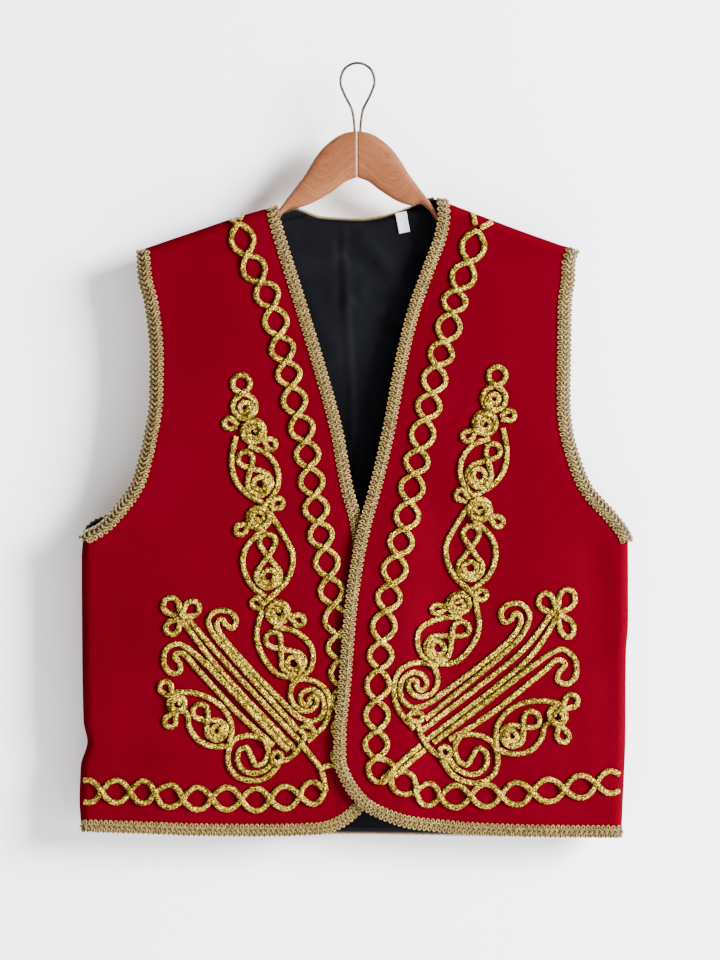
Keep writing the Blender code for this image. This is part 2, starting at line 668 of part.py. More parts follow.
def chain(crossings):
    """Two strands that swing apart and cross over and over, flat, as links that share their crossings."""
    bm = bmesh.new()
    row = [Vector(c) for c in crossings]
    faces = []

    def both(point):
        return [bm.verts.new((point.x, point.y, h)) for h in (0.0, CORD_THICK)]

    def corners(k):
        """The four corners where the strands cross, and the way the chain runs there."""
        ahead = (row[min(k + 1, len(row) - 1)] - row[max(k - 1, 0)]).normalized()
        side = Vector((-ahead.y, ahead.x))
        wide, tall = CORD_WIDTH * CROSSING_WIDE, CORD_WIDTH * CROSSING_TALL
        return [both(row[k] + v) for v in (-ahead * tall, side * wide, ahead * tall, -side * wide)]

    knots = [corners(k) for k in range(len(row))]
    for knot in knots:
        faces.append(knot)
    for k, (a, b) in enumerate(zip(row, row[1:])):
        step = b - a
        side = Vector((-step.y, step.x)).normalized()
        for turn, corner in ((1, 1), (-1, 3)):
            before = (knots[k][corner], knots[k][2])
            for t in CHAIN_BENDS:
                middle = a + step * t + side * (turn * CHAIN_SWING)
                lean = side * (turn * CORD_WIDTH / 2) + step.normalized() * ((t - 0.5) * CORD_WIDTH * BEND_LEAN)
                after = (both(middle + lean), both(middle - lean))
                faces.append([before[0], after[0], after[1], before[1]][::turn])
                before = after
            faces.append([before[0], knots[k + 1][corner], knots[k + 1][0], before[1]][::turn])
    edges = {}
    for face in faces:
        bm.faces.new([v[1] for v in face])
        bm.faces.new([v[0] for v in face[::-1]])
        for a, b in zip(face, face[1:] + face[:1]):
            edges.setdefault(frozenset((a[0], b[0])), []).append((a, b))
    for pair in edges.values():
        if len(pair) == 1:
            a, b = pair[0]
            bm.faces.new([a[0], b[0], b[1], a[1]])
    bmesh.ops.recalc_face_normals(bm, faces=bm.faces)
    return bm


def right_place(point):
    """Where a point of the left front's ornament lies on the right front."""
    across, down = point
    lower = smooth((down - LOWER_START) / LOWER_RUN)
    below = max(0.0, down - LOWER_START)
    new_across = MIRROR_SUM - across - LOWER_DRAW * below - LOWER_SPREAD * (across - SPREAD_AXIS) * lower
    new_down = down - RIGHT_LIFT - LOWER_TURN * (across - TURN_AXIS) * lower
    new_down += LOWER_SPREAD * max(0.0, down - SPREAD_START)
    return new_across, new_down


def join_cords(name, pieces):
    """One flat solid from many lengths of cord."""
    made = []
    for number, bm in enumerate(pieces):
        mesh = bpy.data.meshes.new(f"{name}_{number}")
        bm.to_mesh(mesh)
        bm.free()
        item = bpy.data.objects.new(f"{name}_{number}", mesh)
        bpy.context.scene.collection.objects.link(item)
        made.append(item)
    whole = made[0]
    for other in made[1:]:
        union = whole.modifiers.new("union", "BOOLEAN")
        union.operation = "UNION"
        union.solver = "EXACT"
        union.object = other
        graph = bpy.context.evaluated_depsgraph_get()
        mesh = bpy.data.meshes.new_from_object(whole.evaluated_get(graph))
        whole.modifiers.remove(union)
        whole.data = mesh
    mesh = whole.data
    for item in made:
        bpy.data.objects.remove(item)
    return mesh


def lay_cords(mesh, tree):
    """Triangulates the flat cords, then lays each of their points on a panel."""
    bm = bmesh.new()
    bm.from_mesh(mesh)
    loose = [e for e in bm.edges if not e.link_faces]
    bmesh.ops.delete(bm, geom=loose, context="EDGES")
    bmesh.ops.dissolve_limit(bm, angle_limit=math.radians(0.4), verts=bm.verts, edges=bm.edges)
    bmesh.ops.triangulate(bm, faces=bm.faces, quad_method="BEAUTY", ngon_method="BEAUTY")
    for vert in bm.verts:
        vert.co = laid(tree, vert.co.x, vert.co.y, CORD_LIFT + vert.co.z)
    bmesh.ops.recalc_face_normals(bm, faces=bm.faces)
    if bm.calc_volume(signed=True) < 0.0:
        bmesh.ops.reverse_faces(bm, faces=bm.faces)
    bm.to_mesh(mesh)
    bm.free()
    return mesh


def ornament_pieces(place_of, stems):
    """The rings and strands of one front's ornament."""
    pieces = []
    for across, down, radius in RINGS:
        x, d = place_of((across, down))
        pieces.append(ring(x, d, radius, CORD_WIDTH))
    for across, down, radius in COILS:
        pieces.append(coil(*place_of((across, down)), radius))
    for name, row in STRANDS.items():
        if name in ("stem", "side link", "corner link"):
            continue
        points = flowing([place_of(p) for p in row], CORD_STATION)
        pieces.append(ribbon(points, CORD_WIDTH))
    for row in stems:
        pieces.append(ribbon(flowing(row, CORD_STATION), CORD_WIDTH))
    return pieces


def hanger_arm(name, sign, collection, finish):
    """One half of the hanger: sections along the arm, from the mitre to the tip."""
    sides = 10
    power = 2 / ARM_SQUARENESS
    peak = math.sin(2 * math.pi * 2 / sides) ** power
    outs = [row[0] for row in ARM_TOP] + [80.0, 120.0, TIP_START, 182.0, WOOD_REACH]
    bm = bmesh.new()
    rings = []
    for out in outs:
        across = MITRE_ACROSS + sign * (out + MITRE_GAP / 2)
        if out <= ARM_TOP[-1][0]:
            top = between(ARM_TOP, out)
        else:
            top = max(shoulder_down(-out), shoulder_down(out)) + CLOTH_WALL + HANGER_SEAT
        foot = between(ARM_BOTTOM, out)
        shrink = math.sqrt(1.0 - (max(0.0, out - TIP_START) / (WOOD_REACH + 1.0 - TIP_START)) ** 2)
        middle = (top + foot) / 2
        half_high = (foot - top) / 2 * shrink
        half_thick = WOOD_THICK / 2 * (1.0 - ARM_THINNING * out / WOOD_REACH) * shrink
        loop = []
        for k in range(sides):
            angle = 2 * math.pi * k / sides
            c, s = math.cos(angle), math.sin(angle)
            depth = half_thick * math.copysign(abs(c) ** power, c)
            high = half_high * math.copysign(abs(s) ** power, s) / peak
            loop.append(bm.verts.new(place(across, middle - high, depth)))
        rings.append(loop)
    for a, b in zip(rings, rings[1:]):
        for k in range(sides):
            bm.faces.new([a[k], a[(k + 1) % sides], b[(k + 1) % sides], b[k]])
    bm.faces.new(rings[0])
    bm.faces.new(rings[-1][::-1])
    bmesh.ops.recalc_face_normals(bm, faces=bm.faces)
    mesh = bpy.data.meshes.new(name)
    bm.to_mesh(mesh)
    bm.free()
    return add(name, mesh, finish, collection)


def hanger_loop(collection, finish):
    """The wire loop: one bent wire with both ends at the wood."""
    left = WIRE_HALF
    right = [(-a, d) for a, d in reversed(left)]
    row = flowing(left + [(0.0, -WIRE_RADIUS)] + right, 8.0)
    curve = bpy.data.curves.new("hanger_loop", "CURVE")
    curve.dimensions = "3D"
    curve.bevel_depth = WIRE_RADIUS * MM
    curve.bevel_resolution = 2
    curve.use_fill_caps = True
    spline = curve.splines.new("POLY")
    spline.points.add(len(row) - 1)
    for target, point in zip(spline.points, row):
        target.co = (*place(point.x, point.y), 1.0)
    return add("hanger_loop", curve, finish, collection)


def label(tree, collection, finish):
    """A small bare label, sewn on the lining under the neck."""
    bm = bmesh.new()
    bmesh.ops.create_cube(bm, size=1.0)
    lengthwise = [e for e in bm.edges if abs(e.verts[0].co.y - e.verts[1].co.y) > 0.5]
    bmesh.ops.subdivide_edges(bm, edges=lengthwise, cuts=3, use_grid_fill=True)
    for vert in bm.verts:
        x, y = vert.co.x * LABEL_SIZE[0], vert.co.y * LABEL_SIZE[1]
        across = LABEL_MIDDLE[0] + x * math.cos(LABEL_TURN) - y * math.sin(LABEL_TURN)
        down = LABEL_MIDDLE[1] + x * math.sin(LABEL_TURN) + y * math.cos(LABEL_TURN)
        on_sheet = laid(tree, across, max(down, LABEL_SHEET_TOP), BRAID_LIFT + LABEL_THICK * (vert.co.z + 0.5))
        vert.co = (across * MM, on_sheet.y, -down * MM)
    bmesh.ops.triangulate(bm, faces=bm.faces)
    bmesh.ops.recalc_face_normals(bm, faces=bm.faces)
    mesh = bpy.data.meshes.new("label")
    bm.to_mesh(mesh)
    bm.free()
    return add("label", mesh, finish, collection)


def front_braid_cells(panel):
    """The braid down the front edge and along the hem."""
    last_row = panel.rows - 2
    return [(i, 0) for i in range(last_row + 1)] + [(last_row, j) for j in range(1, panel.columns - 1)]


def armhole_rows(panel, column, underarm):
    """The rows of cells beside the armhole."""
    return [i for i in range(panel.rows - 1) if -panel.points[i + 1][column].z / MM <= underarm + 8.0]


def main():
    clear_scene()
    collection = bpy.data.collections.new("folk_vest_on_hanger")
    bpy.context.scene.collection.children.link(collection)
    red = material("red cloth", RED, 0.85)
    black = material("black satin", BLACK, 0.4)
    braid = material("gimp braid", BRAID_GOLD, 0.45, 0.3)
    cord = material("gold cord", CORD_GOLD, 0.35, 0.6)
    wood = material("beech wood", WOOD, 0.5)
    iron = material("iron wire", IRON, 0.4, 0.9)
    white = material("white tape", WHITE, 0.7)

    braid_low = BRAID_LIFT
    braid_high = braid_low + BRAID_THICK
    roll_cells = len(roll_stations())
    for side, sign, underarm in (("left", -1, UNDERARM_LEFT), ("right", 1, UNDERARM_RIGHT)):
        panel = front_panel(sign)
        mesh = wall(f"front_{side}", panel, all_cells(panel), -CLOTH_WALL, 0.0)
        add(f"front_{side}", mesh, red, collection)
        tree = surface_of(mesh)
        mesh = wall(f"braid_front_{side}", panel, front_braid_cells(panel), braid_low, braid_high)
        add(f"braid_front_{side}", mesh, braid, collection)
        last = panel.columns - 1
        cells = [
            (i, j) for i in armhole_rows(panel, last, underarm) for j in range(last - roll_cells, last)
        ]
        mesh = wall(f"braid_armhole_{side}_front", panel, cells, braid_low, braid_high)
        add(f"braid_armhole_{side}_front", mesh, braid, collection)
        if sign < 0:
            chains = [chain(CHAIN_LEFT), chain(HEM_CHAIN_LEFT)]
            stems = [STRANDS[name] for name in ("stem", "side link", "corner link")]
            ornament = ornament_pieces(lambda p: p, stems)
        else:
            chains = [chain(CHAIN_RIGHT), chain(HEM_CHAIN_RIGHT)]
            chains += [ribbon(flowing(row, CORD_STATION), CORD_WIDTH) for row in (
                [(15.7, 632.8), (10.0, 641.0), (15.0, 653.0), (24.0, 653.5), (30.6, 647.0)],
                [(15.7, 632.8), (27.0, 636.0), (30.6, 647.0)])]
            ornament = ornament_pieces(right_place, [
                [(57.0, 621.0), (42.0, 634.0), (30.6, 645.0)], [(61.0, 625.0), (46.0, 638.0), (33.6, 649.0)]])
        mesh = lay_cords(join_cords(f"cord_{side}", chains + ornament), tree)
        add(f"cordwork_{side}", mesh, cord, collection)

    back = back_panel()
    add("back", wall("back", back, all_cells(back), -CLOTH_WALL, 0.0), red, collection)
    last = back.columns - 1
    for side, underarm, columns in (
        ("left", UNDERARM_LEFT, range(0, roll_cells)),
        ("right", UNDERARM_RIGHT, range(last - roll_cells, last)),
    ):
        edge = 0 if side == "left" else last
        cells = [(i, j) for i in armhole_rows(back, edge, underarm) for j in columns]
        mesh = wall(f"braid_armhole_{side}_back", back, cells, braid_low, braid_high)
        add(f"braid_armhole_{side}_back", mesh, braid, collection)
    first, final = back.neck
    neck_cells = [(i, j) for i in range(roll_cells) for j in range(first + 2, final - 2)]
    reach = {
        (0, j): (back.points[0][j] - back.points[roll_cells][j]).normalized() * BACK_BRAID_REACH * MM
        for j in range(first + len(NECK_STATIONS), final - len(NECK_STATIONS) + 1)
    }
    mesh = wall("braid_back_neck", back, neck_cells, braid_low, braid_high, reach)
    add("braid_back_neck", mesh, braid, collection)
    end = back.rows - 1
    hem_cells = [(end - 1, j) for j in range(back.columns - 1)]
    reach = {
        (end, j): Vector((0.0, 0.0, -BACK_BRAID_REACH * MM))
        for j in range(roll_cells, back.columns - roll_cells)
    }
    mesh = wall("braid_back_hem", back, hem_cells, braid_low, braid_high, reach)
    add("braid_back_hem", mesh, braid, collection)

    lining = lining_panel()
    mesh = wall("back_lining", lining, all_cells(lining), -LINING_WALL, 0.0)
    add("back_lining", mesh, black, collection)
    label(surface_of(mesh), collection, white)

    hanger_arm("hanger_arm_left", -1, collection, wood)
    hanger_arm("hanger_arm_right", 1, collection, wood)
    hanger_loop(collection, iron)


main()
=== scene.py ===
# %% [markdown]
# # A folk vest on its hanger
# This file dresses a plain model of a sleeveless folk vest that hangs flat on a wooden coat hanger.
# The plain model already has every panel, braid and cord in its place. Here each of them gets its
# fine surface: the cloth its folds, the braid its loops, the gold cord its crossings, the wood its grain.

# %% Load the plain model
import json
import math

import bpy
import numpy as np
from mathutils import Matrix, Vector

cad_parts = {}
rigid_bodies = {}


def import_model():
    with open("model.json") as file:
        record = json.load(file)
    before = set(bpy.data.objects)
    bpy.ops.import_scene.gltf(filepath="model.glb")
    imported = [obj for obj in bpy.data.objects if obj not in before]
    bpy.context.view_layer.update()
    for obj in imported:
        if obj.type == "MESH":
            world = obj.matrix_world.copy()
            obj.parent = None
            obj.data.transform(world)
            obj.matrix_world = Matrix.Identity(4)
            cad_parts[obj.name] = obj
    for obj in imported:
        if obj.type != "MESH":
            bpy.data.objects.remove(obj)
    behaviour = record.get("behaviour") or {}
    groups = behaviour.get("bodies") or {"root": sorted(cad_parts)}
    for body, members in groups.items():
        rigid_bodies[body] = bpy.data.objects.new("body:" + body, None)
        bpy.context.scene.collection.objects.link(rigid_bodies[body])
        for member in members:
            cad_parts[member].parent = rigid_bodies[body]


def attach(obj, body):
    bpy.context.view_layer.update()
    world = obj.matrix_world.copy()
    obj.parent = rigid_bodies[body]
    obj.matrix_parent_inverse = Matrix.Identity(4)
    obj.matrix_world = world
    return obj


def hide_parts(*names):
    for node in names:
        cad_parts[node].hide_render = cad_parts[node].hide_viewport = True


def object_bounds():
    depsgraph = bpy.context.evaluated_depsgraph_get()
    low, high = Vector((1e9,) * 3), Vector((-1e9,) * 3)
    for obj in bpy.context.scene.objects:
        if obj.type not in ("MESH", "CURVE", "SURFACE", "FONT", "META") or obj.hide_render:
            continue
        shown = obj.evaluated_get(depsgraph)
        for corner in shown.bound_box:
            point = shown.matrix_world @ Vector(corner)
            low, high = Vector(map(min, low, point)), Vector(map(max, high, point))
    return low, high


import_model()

MM = 0.001
cad_low, cad_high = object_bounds()
cad_low, cad_high = list(cad_low), list(cad_high)
print("plain model, metres:", [round(h - l, 4) for l, h in zip(cad_low, cad_high)])

# %% [markdown]
# ## The camera
# The vest was photographed straight from the front. A long lens far away keeps the panels flat and
# undistorted. The long side of the picture takes the whole sensor, so the lens follows from how many
# metres of vest the picture shows from top to bottom.

# %% Camera
PICTURE_MIDDLE = (2.3, 379.9)
PICTURE_HEIGHT = 875.5
CAMERA_AWAY = 3.0
VEST_PLANE = -0.008


def linked(name, data):
    """Puts a camera, light, curve or mesh into the scene as an object."""
    made = bpy.data.objects.new(name, data)
    bpy.context.scene.collection.objects.link(made)
    return made


eye = bpy.data.cameras.new("front_eye")
eye.sensor_width = 36.0
eye.lens = eye.sensor_width * (CAMERA_AWAY + VEST_PLANE) / (PICTURE_HEIGHT * MM)
camera = linked("front_eye", eye)
camera.location = (PICTURE_MIDDLE[0] * MM, -CAMERA_AWAY, -PICTURE_MIDDLE[1] * MM)
camera.rotation_euler = (math.radians(90.0), 0.0, 0.0)
bpy.context.scene.camera = camera
print("lens, mm:", round(eye.lens, 1))

# %% [markdown]
# ## The cut of the vest
# A garment is drawn by its edges. Each table below follows one edge in millimetres: "across" is to the
# right as seen from the front, "down" is measured from the hang point at the top of the wire loop.
# They are the edges that the plain model was made from, refined by a few millimetres at the underarms.

# %% Edges of the panels
CLOTH_WALL = 1.6
LINING_WALL = 0.9
LINING_EASE = 1.3
SEAM_DEPTH = 0.2
SEAM_REACH = 3.2
FRONT_DEPTH = 9.0
BACK_DEPTH = 10.4
BODY_FULLNESS = 2.2
EDGE_ROLL = 9.0
ARMHOLE_PARTING = 5.0
PARTING_RUN = 30.0
OVERLAP_STEP = 4.8
SHOULDER_LEAN = 0.94
SIDE_PULL = 120.0
BRAID_WIDTH = 12.5

NECK = {-1: (-73.0, 131.5), 1: (72.5, 122.5)}
TIP = {-1: (-198.0, 170.0), 1: (199.0, 168.5)}
UNDERARM = {-1: 426.0, 1: 430.0}

# Both left sides are the same above and below the curve of the armhole, as down and across
ABOVE_CURVE = [
    (170.0, -198.0), (198.0, -195.5), (218.0, -190.0), (270.0, -185.0), (307.0, -185.6),
    (343.0, -191.0), (362.0, -195.6), (380.0, -200.6),
]
BELOW_CURVE = [
    (435.0, -251.0), (453.0, -252.2), (540.0, -251.7), (600.0, -250.6), (619.0, -247.0),
    (641.0, -253.0), (672.0, -254.2), (700.0, -252.4),
]
SIDE_LEFT = ABOVE_CURVE + [
    (394.0, -208.4), (404.0, -216.4), (411.0, -222.0), (416.7, -227.4), (421.4, -232.4),
    (425.1, -237.4), (428.0, -243.9), (431.0, -249.0),
] + BELOW_CURVE
# The back's left armhole is cut a little less deep, so it shows behind the front's one
BACK_SIDE_LEFT = ABOVE_CURVE + [
    (393.0, -208.6), (404.0, -217.4), (410.8, -223.7), (414.8, -230.8), (417.9, -238.6),
    (420.8, -243.5), (426.0, -248.4), (431.0, -250.4),
] + BELOW_CURVE
SIDE_RIGHT = [
    (168.5, 199.0), (182.0, 194.5), (198.0, 194.0), (216.0, 191.2), (270.0, 190.3), (307.0, 189.8),
    (335.0, 192.2), (362.0, 199.6), (380.0, 206.5), (391.0, 212.9), (399.5, 220.5), (408.1, 228.8),
    (416.3, 236.0), (425.0, 242.8), (435.0, 247.4), (508.0, 247.6), (541.0, 245.6), (617.0, 245.0),
    (672.0, 242.8), (705.5, 241.4),
]
EDGE_LEFT = [
    (131.5, -73.0), (143.0, -70.7), (170.0, -62.5), (225.0, -45.1), (280.0, -28.7),
    (334.0, -14.1), (389.0, -4.1), (414.6, 3.2), (453.0, 8.0), (526.0, 12.5),
    (617.0, 15.5), (658.0, 14.0), (673.0, 10.0), (684.0, 2.1),
]
EDGE_RIGHT = [
    (122.5, 72.5), (138.0, 73.9), (154.0, 71.4), (184.0, 60.6), (225.0, 46.1),
    (270.0, 35.1), (334.0, 23.3), (389.0, 10.5), (414.6, 3.2), (444.7, -3.6),
    (498.0, -11.4), (564.0, -16.6), (617.0, -21.2), (637.0, -21.0), (652.0, -15.6),
    (663.0, -9.6), (671.0, -3.3),
]
HEM_LEFT = [
    (2.1, 684.0), (-6.5, 691.4), (-17.2, 697.8), (-28.0, 701.6), (-39.0, 703.0),
    (-84.0, 704.2), (-139.0, 703.7), (-194.0, 701.8), (-252.4, 700.0),
]
HEM_RIGHT = [
    (-3.3, 671.0), (6.4, 680.2), (17.1, 686.1), (30.1, 691.4), (42.0, 695.2),
    (52.4, 697.3), (80.0, 700.5), (107.0, 702.8), (163.0, 704.6), (241.4, 705.5),
]
BACK_HEM = [(-252.4, 700.0), (-120.0, 702.0), (3.0, 702.4), (120.0, 704.0), (241.4, 705.5)]
BACK_NECK = [
    (-73.0, 131.5), (-72.0, 134.2), (-69.5, 136.5), (-64.3, 135.4), (-57.0, 132.6), (-50.0, 134.6),
    (-43.3, 137.6), (-34.0, 140.4), (-18.0, 141.6), (3.0, 142.4), (25.0, 139.4), (35.1, 136.4),
    (43.3, 133.6), (48.8, 131.2), (57.0, 127.4), (64.3, 124.4), (68.0, 123.5), (72.5, 122.5),
]


def smooth_curve(rows):
    """A smooth curve through a table of two columns, read at a value or at an array of values."""
    rows = sorted(rows)
    key = np.array([row[0] for row in rows])
    value = np.array([row[1] for row in rows])
    step = np.diff(key)
    slope = np.diff(value) / step
    lean = np.empty(len(key))
    lean[0], lean[-1] = slope[0], slope[-1]
    product = slope[:-1] * slope[1:]
    total = np.where(product > 0.0, slope[:-1] + slope[1:], 1.0)
    lean[1:-1] = np.where(product > 0.0, 2.0 * product / total, 0.0)

    def read(at):
        at = np.clip(at, key[0], key[-1])
        k = np.clip(np.searchsorted(key, at) - 1, 0, len(step) - 1)
        t = (at - key[k]) / step[k]
        return (
            (2 * t**3 - 3 * t**2 + 1) * value[k] + (t**3 - 2 * t**2 + t) * step[k] * lean[k]
            + (3 * t**2 - 2 * t**3) * value[k + 1] + (t**3 - t**2) * step[k] * lean[k + 1]
        )

    return read


side_at = {-1: smooth_curve(SIDE_LEFT), 1: smooth_curve(SIDE_RIGHT)}
back_side_at = {-1: smooth_curve(BACK_SIDE_LEFT), 1: side_at[1]}
edge_at = {-1: smooth_curve(EDGE_LEFT), 1: smooth_curve(EDGE_RIGHT)}
hem_at = {-1: smooth_curve(HEM_LEFT), 1: smooth_curve(HEM_RIGHT)}
back_hem_at = smooth_curve(BACK_HEM)
back_neck_at = smooth_curve(BACK_NECK)
print("chest width at the hem, mm:", round(float(side_at[1](700.0) - side_at[-1](700.0)), 1))

# %% [markdown]
# ## How the cloth hangs
# Cloth on a hanger isn't flat: it rolls over at the shoulders and sides, stands a little fuller at the
# chest, and keeps the soft creases of its folding. Each fold here is a line on the cloth with a width
# and a depth, drawn as a soft trough or ridge. A few large ones are shared with the plain model and the
# fine ones are added only here.

# %% Folds and the roll of the edges
# A row for each fold: where it starts and ends, across and down, its width and its depth
FRONT_FOLDS = [
    (-174.0, 415.0, -57.0, 407.0, 15.0, -0.9),
    (16.0, 415.0, 146.0, 424.0, 15.0, -0.9),
    (-246.0, 627.0, -196.0, 632.0, 10.0, -1.5),
    (214.0, 450.0, 219.0, 530.0, 13.0, -1.5),
    (-150.0, 470.0, -158.0, 705.0, 42.0, 1.6),
    (150.0, 480.0, 168.0, 705.0, 46.0, 1.8),
    (-110.0, 240.0, -150.0, 330.0, 30.0, 1.0),
    (120.0, 235.0, 158.0, 330.0, 30.0, 1.0),
]
FINE_FOLDS = [
    (-174.0, 415.5, -123.0, 409.5, 4.0, -0.45),
    (-123.0, 409.5, -57.0, 407.5, 3.5, -0.4),
    (16.0, 414.6, 36.0, 423.7, 3.5, -0.45),
    (36.0, 423.7, 89.0, 425.5, 3.5, -0.5),
    (89.0, 425.5, 146.0, 422.0, 4.5, -0.4),
    (-244.0, 629.0, -196.0, 632.0, 4.0, -0.6),
    (158.0, 361.0, 145.0, 395.0, 5.0, -0.5),
    (173.0, 412.0, 185.0, 404.0, 4.0, -0.5),
    (-196.0, 300.0, -168.0, 380.0, 9.0, 0.5),
    (-236.0, 470.0, -212.0, 520.0, 9.0, -0.5),
    (-222.0, 560.0, -226.0, 640.0, 10.0, 0.5),
    (206.0, 560.0, 214.0, 660.0, 11.0, 0.6),
    (226.0, 455.0, 231.0, 600.0, 6.0, -0.5),
    (-215.0, 430.0, -190.0, 448.0, 7.0, -0.5),
]
BACK_FOLDS = [
    (-120.0, 330.0, -150.0, 700.0, 44.0, 2.0),
    (30.0, 300.0, 10.0, 690.0, 50.0, 1.6),
    (140.0, 360.0, 170.0, 700.0, 40.0, 2.0),
    (-196.0, 425.0, -60.0, 415.0, 13.0, -1.2),
    (70.0, 418.0, 190.0, 430.0, 13.0, -1.2),
]
FINE_BACK_FOLDS = [
    (-190.0, 424.0, -62.0, 414.0, 4.0, -0.5),
    (-62.0, 414.0, 60.0, 417.0, 5.0, -0.4),
    (60.0, 417.0, 190.0, 429.0, 4.0, -0.5),
    (-176.0, 230.0, -120.0, 300.0, 12.0, 0.6),
    (178.0, 236.0, 126.0, 310.0, 12.0, 0.6),
    (-205.0, 470.0, -180.0, 640.0, 12.0, 0.7),
    (200.0, 480.0, 184.0, 650.0, 12.0, 0.7),
    (-40.0, 180.0, -20.0, 290.0, 14.0, -0.5),
    (2.0, 560.0, 6.0, 700.0, 12.0, -0.6),
]
LINING_FOLDS = [
    (-13.2, 150.0, -10.5, 221.2, 4.0, 0.8),
    (-10.5, 221.2, -5.5, 297.9, 3.2, 0.9),
    (-5.5, 297.9, -4.6, 333.4, 3.0, 0.9),
    (-4.6, 333.4, -2.3, 398.2, 3.0, 0.8),
    (-17.0, 160.0, -17.0, 215.0, 4.0, -1.0),
    (-9.0, 174.5, 9.0, 184.0, 5.0, -2.2),
    (9.0, 184.0, 26.0, 203.0, 5.5, -2.4),
    (14.0, 209.0, 42.0, 246.0, 6.0, -2.4),
    (4.0, 160.0, 36.0, 196.0, 9.0, 1.3),
    (0.5, 219.4, 16.0, 232.0, 4.5, -1.3),
    (-10.0, 214.0, 4.0, 222.0, 3.0, 1.2),
    (-60.0, 176.0, -20.0, 172.0, 9.0, 1.4),
    (-56.0, 196.0, -22.0, 190.0, 8.0, -1.2),
    (-44.0, 214.0, -20.0, 262.0, 9.0, 0.9),
    (46.0, 150.0, 60.0, 172.0, 6.0, -1.0),
    (10.0, 262.0, 6.0, 330.0, 8.0, 0.8),
    (-24.0, 292.0, -12.0, 350.0, 6.0, -0.8),
]


def soft_step(value):
    value = np.clip(value, 0.0, 1.0)
    return value * value * (3.0 - 2.0 * value)


def folds(across, down, table):
    """How far a table of folds moves a point of the cloth to its outer side."""
    total = 0.0
    for ax, ad, bx, bd, width, depth in table:
        t = ((across - ax) * (bx - ax) + (down - ad) * (bd - ad)) / ((bx - ax) ** 2 + (bd - ad) ** 2)
        t = np.clip(t, 0.0, 1.0)
        away = np.hypot(across - ax - t * (bx - ax), down - ad - t * (bd - ad))
        total = total + depth * np.exp(-((away / width) ** 2))
    return total


def rolled(distance):
    """A quarter round: 0 at a rolled edge and 1 where the cloth lies flat."""
    t = np.clip(distance / EDGE_ROLL, 0.0, 1.0)
    return np.sqrt(1.0 - (1.0 - t) ** 2)


def shoulder_line(across):
    out = []
    for sign in (-1, 1):
        (na, nd), (ta, td) = NECK[sign], TIP[sign]
        out.append(nd + (across - na) * (td - nd) / (ta - na))
    return np.where(across < 0.0, out[0], out[1])


def by_side(across, left, right):
    return np.where(across < 0.0, left, right)


SHOULDER_RISE = [
    (-198.0, 0.6), (-150.0, 2.2), (-110.0, 3.4), (-88.0, 3.2), (-73.0, 1.6), (-50.0, 0.0), (60.0, 0.0),
    (90.0, -0.6), (120.0, -1.2), (150.0, -1.6), (185.0, -1.2), (199.0, 0.0),
]
RISE_RUN = 70.0
rise_at = smooth_curve(SHOULDER_RISE)


def height_of(across, down):
    """How high a place of the cloth hangs: the shoulders are a little fuller than their cut."""
    near = 1.0 - soft_step((down - shoulder_line(across)) / RISE_RUN)
    return -np.asarray(down, float) + rise_at(across) * near


OVERLAP_START, OVERLAP_RUN, OVERLAP_REACH = 385.0, 32.0, 40.0
CHEST_START, CHEST_RUN = 180.0, 160.0
WAIST_START, WAIST_RUN, WAIST_SHARE = 560.0, 150.0, 0.5
CREASE_START, CREASE_RUN = 4.0, 5.0


def overlap_lift(across, down):
    """The right front stands over the left one below the V."""
    near_edge = 1.0 - soft_step((across - OVERLAP_REACH) / OVERLAP_REACH)
    return OVERLAP_STEP * soft_step((down - OVERLAP_START) / OVERLAP_RUN) * near_edge


def drape(across, down, full, table, sides, over=0.0):
    """How far the cloth's outer face stands from the middle plane."""
    across, down = np.asarray(across, float), np.asarray(down, float)
    chest = soft_step((down - CHEST_START) / CHEST_RUN)
    chest = chest * (1.0 - WAIST_SHARE * soft_step((down - WAIST_START) / WAIST_RUN))
    flat = full + BODY_FULLNESS * chest + folds(across, down, table) + over
    tip_down = by_side(across, TIP[-1][1], TIP[1][1])
    underarm = by_side(across, UNDERARM[-1], UNDERARM[1])
    low_enough = np.maximum(down, tip_down)
    side = by_side(across, sides[-1](low_enough), sides[1](low_enough))
    parting = ARMHOLE_PARTING * soft_step(np.minimum(down - tip_down, underarm - down) / PARTING_RUN)
    start = parting / (flat - SEAM_DEPTH)
    round_side = start + (1.0 - start) * rolled(np.abs(side - across))
    round_top = rolled((down - shoulder_line(across)) * SHOULDER_LEAN)
    return SEAM_DEPTH + (flat - SEAM_DEPTH) * round_side * round_top


def creased(depth, across, down, table):
    """Adds fine creases, which fade out where the cloth rolls over at its edges."""
    return depth + folds(across, down, table) * np.clip((depth - CREASE_START) / CREASE_RUN, 0.0, 1.0)


def front_skin(sign):
    """The left or right front's outer face, as metres for a place on the cloth."""

    def skin(across, down):
        over = overlap_lift(across, down) if sign > 0 else 0.0
        depth = drape(across, down, FRONT_DEPTH, FRONT_FOLDS, side_at, over)
        depth = creased(depth, across, down, FINE_FOLDS)
        return np.stack([across, -depth, height_of(across, down)], axis=-1) * MM

    return skin


def back_skin(across, down):
    depth = drape(across, down, BACK_DEPTH, BACK_FOLDS, back_side_at)
    depth = creased(depth, across, down, FINE_BACK_FOLDS)
    return np.stack([across, np.maximum(depth, SEAM_DEPTH), height_of(across, down)], axis=-1) * MM


LINING_ROOM = 1.15


def lining_skin(across, down):
    """The lining's outer face. Its troughs stay inside the room between it and the back."""
    depth = drape(across, down, BACK_DEPTH, BACK_FOLDS, back_side_at) - CLOTH_WALL - LINING_EASE
    fold = folds(np.asarray(across, float), np.asarray(down, float), LINING_FOLDS)
    fold = np.where(fold < 0.0, LINING_ROOM * np.tanh(fold / LINING_ROOM), fold)
    depth = depth - fold
    return np.stack([across, depth, height_of(across, down)], axis=-1) * MM


